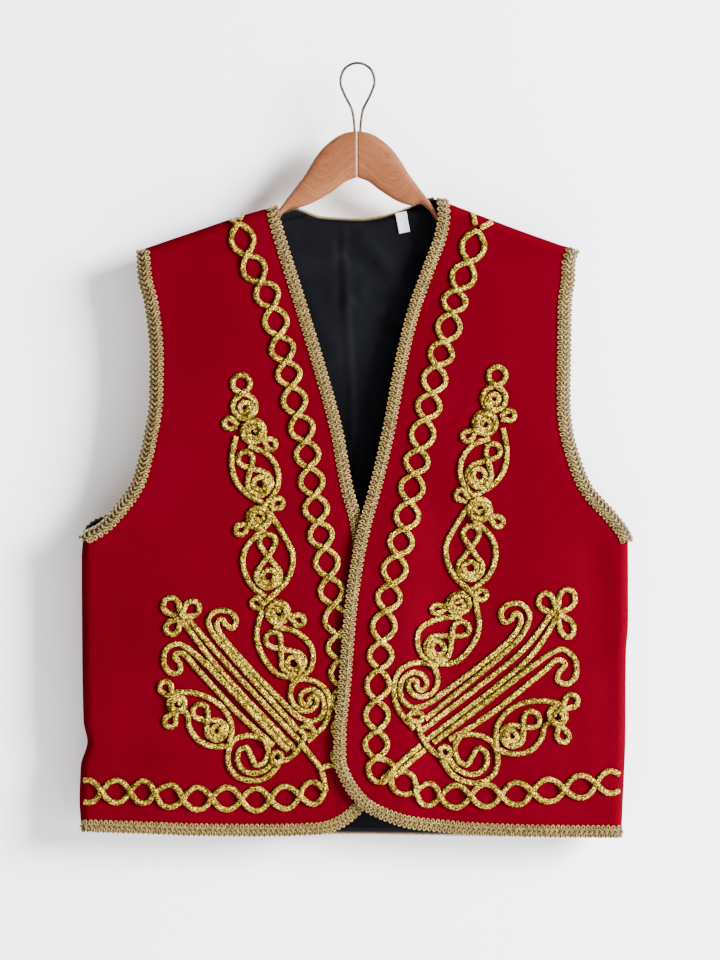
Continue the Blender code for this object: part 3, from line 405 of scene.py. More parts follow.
skins = {-1: front_skin(-1), 1: front_skin(1)}
print("front at the chest stands out, mm:", round(-1000 * float(skins[1](120.0, 330.0)[1]), 1))

# %% [markdown]
# ## Finishes
# Every finish is built from noise, waves and cells, so nothing is a picture. Cloth carries its own map
# in metres, which lets the weave follow the cut. The small helper puts one node in a tree and joins it
# to the ones it reads from, which keeps the recipes below short.

# %% Helpers for node trees
def socket_named(sockets, key):
    if isinstance(key, int):
        return sockets[key]
    for socket in sockets:
        if socket.identifier == key:
            return socket
    return next(s for s in sockets if s.name == key and s.enabled)


def put(tree, kind, feeds=None, **settings):
    """Adds a node. feeds gives values, or other nodes' outputs, for its inputs."""
    made = tree.nodes.new(kind)
    for name, value in settings.items():
        setattr(made, name, value)
    for key, value in (feeds or {}).items():
        socket = socket_named(made.inputs, key)
        if isinstance(value, bpy.types.NodeSocket):
            tree.links.new(value, socket)
        elif isinstance(value, bpy.types.Node):
            tree.links.new(next(s for s in value.outputs if s.enabled), socket)
        else:
            socket.default_value = value
    return made


def ramp(tree, source, *stops):
    """Colours by a value, each stop a place and a colour."""
    made = put(tree, "ShaderNodeValToRGB", {"Fac": source})
    elements = made.color_ramp.elements
    while len(elements) < len(stops):
        elements.new(0.5)
    for element, (at, colour) in zip(elements, stops):
        element.position = at
        element.color = (*colour, 1.0)
    return made.outputs["Color"]


def finish_named(name, roughness, metallic=0.0, **constants):
    """A new material with its fixed numbers set on the shader itself."""
    made = bpy.data.materials.new(name)
    made.use_nodes = True
    tree = made.node_tree
    shader = tree.nodes["Principled BSDF"]
    shader.inputs["Roughness"].default_value = roughness
    shader.inputs["Metallic"].default_value = metallic
    for key, value in constants.items():
        shader.inputs[key.replace("_", " ")].default_value = value
    return made, tree, shader


def own_map(tree):
    return put(tree, "ShaderNodeUVMap", uv_map="UVMap")


def own_place(tree):
    return put(tree, "ShaderNodeTexCoord").outputs["Object"]


def scaled(tree, source, scale, turn=0.0):
    return put(tree, "ShaderNodeMapping", {"Vector": source, "Scale": scale, "Rotation": (0.0, 0.0, turn)})


def noise(tree, source, scale, detail, distortion=0.0):
    return put(tree, "ShaderNodeTexNoise", {
        "Vector": source, "Scale": scale, "Detail": detail, "Distortion": distortion}).outputs["Fac"]


def stripes(tree, source, scale, direction, distortion=0.0):
    return put(tree, "ShaderNodeTexWave", {
        "Vector": source, "Scale": scale, "Distortion": distortion}, bands_direction=direction).outputs["Fac"]


def maths(tree, operation, first, second=0.0, third=None):
    feeds = {0: first, 1: second}
    if third is not None:
        feeds[2] = third
    return put(tree, "ShaderNodeMath", feeds, operation=operation)


def multiplied(tree, first, second):
    """One colour times another."""
    made = put(tree, "ShaderNodeMix", {
        "Factor_Float": 1.0, "A_Color": first, "B_Color": second}, data_type="RGBA", blend_type="MULTIPLY")
    return socket_named(made.outputs, "Result_Color")


def coloured(tree, shader, colour, height, strength, distance):
    """Gives a finish its colour and its bump."""
    tree.links.new(colour, shader.inputs["Base Color"])
    bump = put(tree, "ShaderNodeBump", {"Height": height, "Strength": strength, "Distance": distance})
    tree.links.new(bump.outputs["Normal"], shader.inputs["Normal"])


def rough_by(tree, shader, source, low, high):
    """Lets the roughness follow a value."""
    made = put(tree, "ShaderNodeMapRange", {"Value": source, "To Min": low, "To Max": high})
    tree.links.new(made.outputs["Result"], shader.inputs["Roughness"])


# %% Red cloth
def red_cloth():
    """A fine, dense cloth with hardly any shine."""
    made, tree, shader = finish_named("red_cloth", 0.95, Specular_IOR_Level=0.0)
    cut = own_map(tree)
    warp, weft = (stripes(tree, cut, 560.0, way, 0.6) for way in "XY")
    slub = noise(tree, scaled(tree, cut, (900.0, 260.0, 1.0)), 1.0, 3.0)
    wide = noise(tree, own_place(tree), 9.0, 3.0)
    tone = ramp(tree, wide, (0.3, (0.0590, 0.0, 0.0030)), (0.7, (0.0682, 0.0, 0.0038)))
    grain = ramp(tree, slub, (0.3, (0.86, 0.86, 0.86)), (0.7, (1.0, 1.0, 1.0)))
    height = maths(tree, "MULTIPLY_ADD", slub, 0.5, maths(tree, "MULTIPLY", warp, weft))
    coloured(tree, shader, multiplied(tree, tone, grain), height, 0.35, 0.0003)
    return made


# %% Black satin
def black_satin():
    """Lining with a bluish shine along its threads."""
    made, tree, shader = finish_named(
        "black_satin", 0.46, Specular_IOR_Level=0.04, Specular_Tint=(0.75, 0.82, 1.0, 1.0))
    thread = noise(tree, scaled(tree, own_map(tree), (2200.0, 160.0, 1.0)), 1.0, 2.0)
    wide = noise(tree, own_place(tree), 22.0, 2.0)
    tone = ramp(tree, wide, (0.3, (0.0019, 0.0019, 0.0024)), (0.7, (0.0032, 0.0032, 0.0041)))
    coloured(tree, shader, tone, thread, 0.25, 0.0002)
    return made


# %% Gimp gold
def gimp_gold():
    """Antique gold yarn wound round a core: fine slanted turns along each cord. Its colour is the yarn's own
    uneven tone plus painted light: painted shade in the grooves between the turns and a painted highlight on
    their crowns.
    """
    made, tree, shader = finish_named("gimp_gold", 0.46, 0.45, Specular_IOR_Level=0.2)
    slanted = scaled(tree, own_map(tree), (1.0, 1.0, 1.0), math.radians(24.0))
    turns = stripes(tree, slanted, 420.0, "X", 0.8)
    uneven = noise(tree, own_place(tree), 420.0, 2.0)
    # Painted light: the turns that make the bump also darken the colour in their grooves as painted shade,
    # and lighten it on their crowns as a painted highlight.
    tone_and_painted_light = maths(tree, "MULTIPLY_ADD", uneven, 0.7, maths(tree, "MULTIPLY", turns, 0.35))
    tone = ramp(tree, tone_and_painted_light, (0.26, (0.018, 0.009, 0.001)), (0.5, (0.084, 0.049, 0.009)),
                (0.76, (0.50, 0.345, 0.100)))
    coloured(tree, shader, tone, turns, 0.6, 0.0002)
    return made


def gimp_ground():
    """The brown core cords that show through the loops."""
    made, tree, shader = finish_named("gimp_ground", 0.8)
    strands = stripes(tree, own_map(tree), 160.0, "Y", 1.5)
    tone = ramp(tree, strands, (0.2, (0.008, 0.0045, 0.0007)), (0.8, (0.038, 0.023, 0.005)))
    coloured(tree, shader, tone, strands, 0.5, 0.0004)
    return made


# %% Glittering cord
def glitter_cord():
    """A flat braid of metal-coated thread: small facets in slanted rows, each with its own shine and a random
    brightness painted into its colour, as painted glints and painted shade.
    """
    made, tree, shader = finish_named("glitter_cord", 0.34, 0.8, Specular_IOR_Level=0.2)
    parts = put(tree, "ShaderNodeSeparateXYZ", {"Vector": own_map(tree)})
    along, around = parts.outputs["X"], parts.outputs["Y"]
    from_middle = maths(tree, "ABSOLUTE", maths(tree, "SUBTRACT", around, 0.5))
    slanted = maths(tree, "MULTIPLY_ADD", from_middle, 7.0, maths(tree, "MULTIPLY", along, 1050.0))
    cell = put(tree, "ShaderNodeCombineXYZ", {
        "X": slanted, "Y": maths(tree, "MULTIPLY", around, 13.0), "Z": 0.0})
    facets = put(tree, "ShaderNodeTexVoronoi", {"Vector": cell, "Scale": 1.0, "Randomness": 0.55})
    plait = noise(tree, own_place(tree), 900.0, 1.0)
    shine = put(tree, "ShaderNodeSeparateColor", {"Color": facets.outputs["Color"]})
    # Each facet's random value sets its brightness, over the plait's own uneven tone: painted glints on the
    # light facets and painted shade on the dark ones.
    tone_and_painted_light = maths(tree, "MULTIPLY_ADD", plait, 0.35, maths(tree, "MULTIPLY", shine.outputs["Red"], 0.65))
    tone = ramp(tree, tone_and_painted_light, (0.28, (0.014, 0.008, 0.0005)), (0.44, (0.098, 0.060, 0.004)),
                (0.62, (0.232, 0.146, 0.009)), (0.82, (0.74, 0.51, 0.060)))
    rough_by(tree, shader, shine.outputs["Green"], 0.2, 0.55)
    coloured(tree, shader, tone, maths(tree, "SUBTRACT", 1.0, facets.outputs["Distance"]), 0.8, 0.0007)
    return made


# %% Wood, wire and tape
def varnished_beech():
    """Warm wood with long grain lines and the short dark flecks of beech."""
    made, tree, shader = finish_named("varnished_beech", 0.55, Specular_IOR_Level=0.12)
    cut = own_map(tree)
    grain = noise(tree, scaled(tree, cut, (14.0, 420.0, 1.0)), 1.0, 5.0, 0.4)
    flecks = noise(tree, scaled(tree, cut, (160.0, 1500.0, 1.0)), 1.0, 1.0)
    tone = ramp(tree, grain, (0.3, (0.108, 0.034, 0.0118)), (0.55, (0.140, 0.048, 0.0175)),
                (0.75, (0.168, 0.062, 0.025)))
    dots = ramp(tree, flecks, (0.56, (1.0, 1.0, 1.0)), (0.68, (0.66, 0.58, 0.5)))
    coloured(tree, shader, multiplied(tree, tone, dots), grain, 0.12, 0.0003)
    return made


def browned_wire():
    """Iron wire with the brown patches of long use."""
    made, tree, shader = finish_named("browned_wire", 0.38, 0.85)
    patches = noise(tree, own_place(tree), 260.0, 4.0)
    tone = ramp(tree, patches, (0.35, (0.026, 0.017, 0.012)), (0.6, (0.06, 0.046, 0.036)),
                (0.75, (0.12, 0.10, 0.08)))
    rough_by(tree, shader, patches, 0.28, 0.6)
    coloured(tree, shader, tone, patches, 0.2, 0.0002)
    return made


def woven_tape():
    """White tape with its fine cross ribs."""
    made, tree, shader = finish_named("woven_tape", 0.7)
    ribs = stripes(tree, own_map(tree), 900.0, "Y")
    tone = ramp(tree, ribs, (0.1, (0.37, 0.38, 0.39)), (0.9, (0.45, 0.46, 0.47)))
    coloured(tree, shader, tone, ribs, 0.4, 0.0001)
    return made


red = red_cloth()
satin = black_satin()
gimp = gimp_gold()
ground = gimp_ground()
glitter = glitter_cord()
beech = varnished_beech()
wire = browned_wire()
tape = woven_tape()
print("finishes:", len(bpy.data.materials))

# %% [markdown]
# ## Cloth panels
# A panel is a grid of points on its skin, closer together where an edge rolls over. Offsetting the grid
# inwards by the cloth's thickness and closing its border gives a thin wall with two faces. A shell like
# this could also be an open surface with a Solidify modifier; the grid is kept, because the seams need
# their wall to turn flat where two panels meet.

# %% A wall from a grid of points
def unit(rows):
    """Directions of length one."""
    return rows / np.maximum(np.linalg.norm(rows, axis=-1, keepdims=True), 1e-12)


def wall_faces(rows, columns):
    """How many faces the outer grid of a wall has, and all faces: outer, inner and the border."""
    index = np.arange(rows * columns).reshape(rows, columns)
    a, b, c, d = index[:-1, :-1], index[:-1, 1:], index[1:, 1:], index[1:, :-1]
    outside = np.stack([a, b, c, d], axis=-1).reshape(-1, 4)
    inside = outside[:, ::-1] + rows * columns
    ring = np.concatenate([index[0, :-1], index[:-1, -1], index[-1, :0:-1], index[:0:-1, 0]])
    after = np.roll(ring, -1)
    border = np.stack([after, ring, ring + rows * columns, after + rows * columns], axis=-1)
    return len(outside), np.concatenate([outside, inside, border])


def mapped_mesh(name, verts, faces, maps, finishes, outward=None):
    """A smooth mesh with a flat map in metres. outward says which way its first face looks."""
    mesh = bpy.data.meshes.new(name)
    mesh.from_pydata(verts, [], faces)
    if outward is not None and Vector(outward).dot(mesh.polygons[0].normal) < 0.0:
        mesh.flip_normals()
    layer = mesh.uv_layers.new(name="UVMap")
    corner = np.empty(len(mesh.loops), dtype=np.int32)
    mesh.loops.foreach_get("vertex_index", corner)
    layer.data.foreach_set("uv", np.asarray(maps)[corner].ravel())
    for finish in finishes:
        mesh.materials.append(finish)
    mesh.polygons.foreach_set("use_smooth", [True] * len(mesh.polygons))
    return mesh


def cloth_wall(name, points, cut, thick, finishes, flip=False, seams=()):
    """A closed sheet: the outer grid, an inner one, and a border between them.

    seams names the sides of the grid that are sewn: there the wall turns flat to meet its neighbour."""
    rows, columns = points.shape[:2]
    normal = unit(np.cross(np.gradient(points, axis=1), np.gradient(points, axis=0)))
    if flip:
        normal = -normal
    on_seam = np.zeros((rows, columns), dtype=bool)
    for side in seams:
        on_seam[{"top": np.s_[0, :], "left": np.s_[:, 0], "right": np.s_[:, -1]}[side]] = True
    normal[on_seam & (np.abs(points[..., 1]) < SEAM_REACH * MM), 1] = 0.0
    inner = points - unit(normal) * (thick * MM)
    outer_count, faces = wall_faces(rows, columns)
    if flip:
        faces = faces[:, ::-1]
    verts = np.concatenate([points.reshape(-1, 3), inner.reshape(-1, 3)])
    maps = np.concatenate([cut.reshape(-1, 2)] * 2) * MM
    mesh = mapped_mesh(name, verts.tolist(), faces.tolist(), maps, finishes)
    slot = np.zeros(len(faces), dtype=np.int32)
    slot[outer_count:] = len(finishes) - 1
    mesh.polygons.foreach_set("material_index", slot)
    return linked(name, mesh)


def belongs(made, replaced=None):
    """Says which plain solid a piece stands for, and that it rides on the one body."""
    if replaced:
        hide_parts(replaced)
    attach(made, "root")
    return made


def mostly_out(made, towards):
    """Checks that the outer faces of a sheet look the way they should."""
    share = np.mean([face.normal.y * towards > 0.0 for face in made.data.polygons[:2000]])
    print(made.name, "faces out:", round(float(share), 2), "triangles:", 2 * len(made.data.polygons))


# %% Spacing of the points
ROLL_POINTS = [EDGE_ROLL * (1.0 - math.cos(math.radians(a))) for a in range(0, 91, 10)]
POINT_SPACING = 3.4
# Spacing down a panel is worked out on a panel of this height, and across on a front of this width
PANEL_HEIGHT = 560.0
FRONT_WIDTH = 165.0


def spaced(length, start, end):
    """Distances along a length: close points at its rolled ends and even ones between."""
    first, last = start[-1], length - end[-1]
    count = max(2, round((last - first) / POINT_SPACING))
    middle = [first + (last - first) * k / count for k in range(1, count)]
    return np.array(start + middle + [length - d for d in reversed(end)])


# %% The two fronts
def front_grid(sign):
    """Points of a front between its four edges: neck and front edge, shoulder, armhole and side, hem."""
    neck, tip = np.array(NECK[sign]), np.array(TIP[sign])
    edge_rows = EDGE_LEFT if sign < 0 else EDGE_RIGHT
    hem_rows = HEM_LEFT if sign < 0 else HEM_RIGHT
    corner = np.array([edge_rows[-1][1], edge_rows[-1][0]])
    foot = np.array(hem_rows[-1])
    rows = []
    count = len(spaced(FRONT_WIDTH, [0.0], ROLL_POINTS))
    for v in spaced(PANEL_HEIGHT, ROLL_POINTS, [0.0]) / PANEL_HEIGHT:
        inner_down = neck[1] + (corner[1] - neck[1]) * v
        outer_down = tip[1] + (foot[1] - tip[1]) * v
        inner = np.array([float(edge_at[sign](inner_down)), inner_down])
        outer = np.array([float(side_at[sign](outer_down)), outer_down])
        width = float(np.hypot(*(outer - inner)))
        even = np.linspace(0.0, width - EDGE_ROLL, count - len(ROLL_POINTS) + 1)
        u = np.concatenate([even[:-1], width - np.array(ROLL_POINTS[::-1])]) / width
        top = neck + (tip - neck) * u[:, None]
        bottom_across = corner[0] + (foot[0] - corner[0]) * u
        bottom = np.stack([bottom_across, hem_at[sign](bottom_across)], axis=-1)
        ruled = (1 - v) * top + v * bottom + (1 - u)[:, None] * inner + u[:, None] * outer
        flat = (1 - v) * ((1 - u)[:, None] * neck + u[:, None] * tip)
        flat = flat + v * ((1 - u)[:, None] * corner + u[:, None] * foot)
        rows.append(ruled - flat)
    return np.array(rows)


fronts = {}
for sign, side in ((-1, "left"), (1, "right")):
    cut = front_grid(sign)
    points = skins[sign](cut[..., 0], cut[..., 1])
    made = cloth_wall(f"red_front_{side}", points, cut, CLOTH_WALL, [red, satin], sign > 0, ("top", "right"))
    mostly_out(made, -1.0)
    fronts[sign] = belongs(made, f"front_{side}")

# %% The back
NECK_POINTS = [0.0, 0.5, 1.0, 1.8, 2.8, 4.5, 7.0]


def back_grid():
    """Points of the back, from the left side over shoulder, neck and shoulder to the right side."""
    left_tip, right_tip = TIP[-1], TIP[1]
    top = []
    for d in spaced(NECK[-1][0] - left_tip[0], ROLL_POINTS, [0.0]):
        top.append((left_tip[0] + d, float(shoulder_line(left_tip[0] + d))))
    for d in spaced(NECK[1][0] - NECK[-1][0], NECK_POINTS, NECK_POINTS)[1:-1]:
        top.append((NECK[-1][0] + d, float(back_neck_at(NECK[-1][0] + d))))
    for d in spaced(right_tip[0] - NECK[1][0], [0.0], ROLL_POINTS):
        top.append((NECK[1][0] + d, float(shoulder_line(NECK[1][0] + d))))
    top = np.array(top)
    rows = []
    for v in spaced(PANEL_HEIGHT, ROLL_POINTS, [0.0]) / PANEL_HEIGHT:
        shifts = []
        for tip, foot, sign in ((left_tip, BACK_HEM[0], -1), (right_tip, BACK_HEM[-1], 1)):
            at = tip[1] + (foot[1] - tip[1]) * v
            shifts.append(float(back_side_at[sign](at)) - tip[0])
        near_left = 1.0 - soft_step((top[:, 0] - left_tip[0] - BRAID_WIDTH) / SIDE_PULL)
        near_right = 1.0 - soft_step((right_tip[0] - top[:, 0] - BRAID_WIDTH) / SIDE_PULL)
        across = top[:, 0] + shifts[0] * near_left + shifts[1] * near_right
        down = top[:, 1] + (back_hem_at(across) - top[:, 1]) * v
        rows.append(np.stack([across, down], axis=-1))
    return np.array(rows)


cut = back_grid()
points = back_skin(cut[..., 0], cut[..., 1])
red_back = cloth_wall("red_back", points, cut, CLOTH_WALL, [red, satin], seams=("top", "left", "right"))
mostly_out(red_back, 1.0)
belongs(red_back, "back")

# %% [markdown]
# ## The lining
# Black satin shows in the neck and in the gap of the hem. It is cut a little larger than the back, so
# it gathers into one soft fold down the middle with a few slanted ones beside it.

# %% The lining
LINING_ROWS, LINING_COLUMNS = 190, 150
LINING_INSET = EDGE_ROLL + 4.0
NECK_DROP, HEM_RISE = 1.0, 1.2


def lining_grid():
    rows = []
    for v in np.linspace(0.0, 1.0, LINING_ROWS):
        left = float(back_side_at[-1](TIP[-1][1] + (BACK_HEM[0][1] - TIP[-1][1]) * v)) + LINING_INSET
        right = float(back_side_at[1](TIP[1][1] + (BACK_HEM[-1][1] - TIP[1][1]) * v)) - LINING_INSET
        across = np.linspace(left, right, LINING_COLUMNS)
        top = shoulder_line(across) + LINING_INSET
        in_neck = (across > NECK[-1][0]) & (across < NECK[1][0])
        top = np.where(in_neck, np.maximum(back_neck_at(across) + NECK_DROP, top), top)
        down = top + (back_hem_at(across) - HEM_RISE - top) * v
        rows.append(np.stack([across, down], axis=-1))
    return np.array(rows)


cut = lining_grid()
points = lining_skin(cut[..., 0], cut[..., 1])
lining = cloth_wall("satin_lining", points, cut, LINING_WALL, [satin])
mostly_out(lining, 1.0)
belongs(lining, "back_lining")

# %% [markdown]
# ## Gimp braid
# Gimp is a trimming of one stiff cord that runs to and fro: two rows of small loops with a slanting
# plait between them, here 4.6 mm from loop to loop. It repeats hundreds of times along a path, which is
# what Geometry Nodes are good at. The script only works out where each loop goes and which way the
# cloth faces there; the node tree makes a loop, sets one at every point and turns it to the cloth.

# %% Where the loops go
GIMP_PITCH = 4.6
GIMP_LIFT = 1.0
RING_ROWS = (2.4, 9.3)
STRAND_ROWS = (5.0, 6.7)
STRAND_TURNS = (52.0, 48.0)
STRAND_REACH = (0.8, 1.25)
# Steps along an edge and over the cloth from which a direction is worked out, in millimetres
WAY_STEP, SKIN_STEP, AIM_STEP = 1.5, 0.6, 0.8


def read_along(line, far, at):
    """Places at some distances along a line."""
    return np.stack([np.interp(at, far, line[:, k]) for k in (0, 1)], axis=-1)


def distances(line):
    """How far along a line each of its points lies."""
    return np.concatenate([[0.0], np.cumsum(np.hypot(*np.diff(line, axis=0).T))])


def along_edge(edge, start, pitch):
    """Places at an even pitch along an edge, with the way it runs there."""
    edge = np.asarray(edge, float)
    far = distances(edge)
    at = np.arange(start, far[-1], pitch)
    way = read_along(edge, far, at + WAY_STEP) - read_along(edge, far, at - WAY_STEP)
    return read_along(edge, far, at), unit(way)


def on_cloth(skin, places, lift, stand=None):
    """Points over the cloth, with its outward direction, from finite steps on the skin.

    stand moves the place where the depth is read: stiff braid stands off a rolled edge."""
    read = places if stand is None else places + stand
    a, d = read[:, 0], read[:, 1]
    middle = skin(a, d)
    right = skin(a + SKIN_STEP, d) - skin(a - SKIN_STEP, d)
    below = skin(a, d + SKIN_STEP) - skin(a, d - SKIN_STEP)
    out = unit(np.cross(below, right))
    facing = np.sign(middle[:, 1].mean())
    out *= np.where(out[:, 1:2] * facing < 0.0, -1.0, 1.0)
    if stand is not None:
        middle[:, 0] = places[:, 0] * MM
        middle[:, 2] = height_of(places[:, 0], places[:, 1]) * MM
    return middle + out * (lift * MM), out


def braid_points(edge, inward, skin, shift, stand, wide, pitch):
    """All ring and strand places of one braid: position, outward, forward, kind and reach.

    shift moves the braid in from the edge, stand keeps it off a rolled edge, and wide widens it."""
    rows = []
    kinds = [(RING_ROWS[0], 1.0, 0, None, wide), (RING_ROWS[1], 1.0 + pitch / 2, 0, None, 1.0),
             (STRAND_ROWS[0], 2.6, 1, -STRAND_TURNS[0], STRAND_REACH[0] * wide),
             (STRAND_ROWS[1], 1.4, 1, STRAND_TURNS[1], STRAND_REACH[1] * wide)]
    for off, start, kind, turn, reach in kinds:
        places, way = along_edge(edge, start, pitch)
        side = np.stack([-way[:, 1], way[:, 0]], axis=-1) * inward
        spread = RING_ROWS[1] + (off - RING_ROWS[1]) * wide
        at = places + side * (spread + shift)
        held = None if stand == 0.0 else side * stand
        point, out = on_cloth(skin, at, GIMP_LIFT, held)
        if turn is None:
            ahead = side * (1.0 if off > STRAND_ROWS[0] else -1.0)
        else:
            angle = math.radians(turn)
            ahead = -side * math.sin(angle) + way * math.cos(angle)
        beyond, _ = on_cloth(skin, at + ahead * AIM_STEP, GIMP_LIFT, held)
        rows += [(p, o, f, kind, reach) for p, o, f in zip(point, out, unit(beyond - point))]
    return rows


# %% The gimp's node tree
def new_tree(name, made, *inputs):
    """An empty node tree with named inputs: geometry first, then numbers, and the finish last."""
    tree = bpy.data.node_groups.new(name, "GeometryNodeTree")
    for label, kind, value in inputs:
        socket = tree.interface.new_socket(label, in_out="INPUT", socket_type=f"NodeSocket{kind}")
        if value is not None:
            socket.default_value = value
    tree.interface.new_socket(made, in_out="OUTPUT", socket_type="NodeSocketGeometry")
    return tree, put(tree, "NodeGroupInput").outputs, put(tree, "NodeGroupOutput").inputs[made]


def stored(tree, geometry, name, value, kind="FLOAT", domain="POINT"):
    """Keeps a value under a name on the points or corners of a shape."""
    keeper = put(tree, "GeometryNodeStoreNamedAttribute", {
        "Geometry": geometry, "Name": name, "Value": value}, data_type=kind, domain=domain)
    return keeper.outputs["Geometry"]


def named(tree, name, kind="FLOAT"):
    return put(tree, "GeometryNodeInputNamedAttribute", {"Name": name}, data_type=kind)


def vector(tree, x=0.0, y=0.0, z=0.0):
    return put(tree, "ShaderNodeCombineXYZ", {"X": x, "Y": y, "Z": z}).outputs[0]


def swept(tree, curve, profile, closed=False):
    """Sweeps a profile along a curve, and keeps the length along it and the share round it."""
    spline = put(tree, "GeometryNodeSplineParameter")
    round_profile = stored(tree, profile, "around", spline.outputs["Factor"])
    long_curve = stored(tree, curve, "along", spline.outputs["Length"])
    return put(tree, "GeometryNodeCurveToMesh", {
        "Curve": long_curve, "Profile Curve": round_profile, "Fill Caps": not closed}).outputs["Mesh"]


def finished(tree, geometry, around, finish, result):
    """The end of both trees: the map, smooth shading, real geometry and the finish."""
    mapped = stored(tree, geometry, "UVMap", vector(tree, named(tree, "along"), around), "FLOAT2", "CORNER")
    soft = put(tree, "GeometryNodeSetShadeSmooth", {"Geometry": mapped})
    real = put(tree, "GeometryNodeRealizeInstances", {"Geometry": soft})
    dressed = put(tree, "GeometryNodeSetMaterial", {"Geometry": real, "Material": finish})
    tree.links.new(dressed.outputs["Geometry"], result)


GIMP_INPUTS = [
    ("Places", "Geometry", None), ("Loop Reach", "Float", 2.05 * MM), ("Loop Half Width", "Float", 1.38 * MM),
    ("Cord Radius", "Float", 0.62 * MM), ("Plait Half Length", "Float", 1.9 * MM),
    ("Plait Rise", "Float", 0.35 * MM), ("Unevenness", "Float", 0.13), ("Seed", "Int", 3),
    ("Finish", "Material", None),
]
LOOP_DIP = -0.16
PLAIT_LIFT = 0.2 * MM
# The map runs once round a cord in this length
ROUND_LENGTH = 3.6 * MM


def gimp_tree():
    """Makes a loop and a plait strand, sets one at every place and turns it to the cloth."""
    tree, given, result = new_tree("gimp_braid", "Braid", *GIMP_INPUTS)
    profile = put(tree, "GeometryNodeCurvePrimitiveCircle", {
        "Resolution": 5, "Radius": given["Cord Radius"]}).outputs["Curve"]
    position = put(tree, "GeometryNodeInputPosition")
    place = put(tree, "ShaderNodeSeparateXYZ", {"Vector": position}).outputs["X"]

    circle = put(tree, "GeometryNodeCurvePrimitiveCircle", {"Resolution": 12, "Radius": 1.0})
    oval = put(tree, "GeometryNodeTransform", {
        "Geometry": circle.outputs["Curve"],
        "Scale": vector(tree, given["Loop Reach"], given["Loop Half Width"], 1.0)})
    tilted = put(tree, "GeometryNodeSetPosition", {
        "Geometry": oval, "Offset": vector(tree, z=maths(tree, "MULTIPLY", place, LOOP_DIP))})
    loop = swept(tree, tilted, profile, True)

    half = given["Plait Half Length"]
    line = put(tree, "GeometryNodeCurvePrimitiveLine", {
        "Start": vector(tree, maths(tree, "MULTIPLY", half, -1.0)), "End": vector(tree, half)})
    fine = put(tree, "GeometryNodeResampleCurve", {"Curve": line.outputs["Curve"], "Count": 6})
    share = maths(tree, "DIVIDE", place, half)
    arch = maths(tree, "SUBTRACT", 1.0, maths(tree, "MULTIPLY", share, share))
    lift = maths(tree, "ADD", maths(tree, "MULTIPLY", arch, given["Plait Rise"]), PLAIT_LIFT)
    arched = put(tree, "GeometryNodeSetPosition", {"Geometry": fine, "Offset": vector(tree, z=lift)})
    plait = swept(tree, arched, profile)

    facing = put(tree, "FunctionNodeAxesToRotation", {
        "Primary Axis": named(tree, "outward", "FLOAT_VECTOR"),
        "Secondary Axis": named(tree, "forward", "FLOAT_VECTOR")}, primary_axis="Z", secondary_axis="X")
    uneven = given["Unevenness"]
    chance = put(tree, "FunctionNodeRandomValue", {
        0: vector(tree, z=maths(tree, "MULTIPLY", uneven, -1.0)), 1: vector(tree, z=uneven),
        "Seed": given["Seed"]}, data_type="FLOAT_VECTOR")
    joined = put(tree, "GeometryNodeJoinGeometry")
    for shape, kind in ((loop, 0), (plait, 1)):
        chosen = put(tree, "FunctionNodeCompare", {
            "A_INT": named(tree, "kind", "INT"), "B_INT": kind}, data_type="INT", operation="EQUAL")
        placed = put(tree, "GeometryNodeInstanceOnPoints", {
            "Points": given["Places"], "Selection": chosen, "Instance": shape,
            "Rotation": facing, "Scale": vector(tree, named(tree, "reach"), 1.0, 1.0)})
        turned = put(tree, "GeometryNodeRotateInstances", {
            "Instances": placed, "Rotation": chance.outputs[0], "Local Space": True})
        tree.links.new(turned.outputs["Instances"], joined.inputs["Geometry"])
    real = put(tree, "GeometryNodeRealizeInstances", {"Geometry": joined})
    girth = maths(tree, "MULTIPLY", named(tree, "around"), ROUND_LENGTH)
    finished(tree, real, girth, given["Finish"], result)
    return tree


def with_input(modifier, name, value):
    """Sets a node tree's input on its modifier by the socket's identifier."""
    for item in modifier.node_group.interface.items_tree:
        if item.item_type == "SOCKET" and item.in_out == "INPUT" and item.name == name:
            modifier[item.identifier] = value


def made_real(name, mesh, tree, inputs):
    """Runs a node tree on a mesh and returns what it makes as a plain object."""
    made = linked(name, mesh)
    modifier = made.modifiers.new("nodes", "NODES")
    modifier.node_group = tree
    for key, value in inputs.items():
        with_input(modifier, key, value)
    graph = bpy.context.evaluated_depsgraph_get()
    plain = bpy.data.meshes.new_from_object(made.evaluated_get(graph))
    made.modifiers.remove(modifier)
    made.data = plain
    plain.name = name
    return made


gimp_nodes = gimp_tree()


def sew_gimp(name, rows, seed):
    """Makes one braid from the places of its rings and strands."""
    mesh = bpy.data.meshes.new(f"gimp_{name}")
    mesh.from_pydata([tuple(row[0]) for row in rows], [], [])
    for key, column in (("outward", 1), ("forward", 2)):
        layer = mesh.attributes.new(key, "FLOAT_VECTOR", "POINT")
        layer.data.foreach_set("vector", np.array([row[column] for row in rows]).ravel())
    mesh.attributes.new("kind", "INT", "POINT").data.foreach_set("value", [row[3] for row in rows])
    mesh.attributes.new("reach", "FLOAT", "POINT").data.foreach_set("value", [row[4] for row in rows])
    made = made_real(f"gimp_{name}", mesh, gimp_nodes, {"Finish": gimp, "Seed": seed})
    print(made.name, "rings:", sum(row[3] == 0 for row in rows), "triangles:", 2 * len(made.data.polygons))
    return belongs(made, f"braid_{name}")


# %% [markdown]
# Between the loops the real braid shows its darker core cords. A thin brown strip under the loops does
# the same, and it stops short of their outer ends, so the scalloped outline stays.

# %% The ground strip under the loops
GROUND_FROM, GROUND_TO = 1.3, 10.3
GROUND_LIFT, GROUND_THICK = 0.35, 0.35
GROUND_START, GROUND_STEP = 0.6, 2.2
GROUND_COLUMNS = 6
GROUND_LIMIT = -3.2


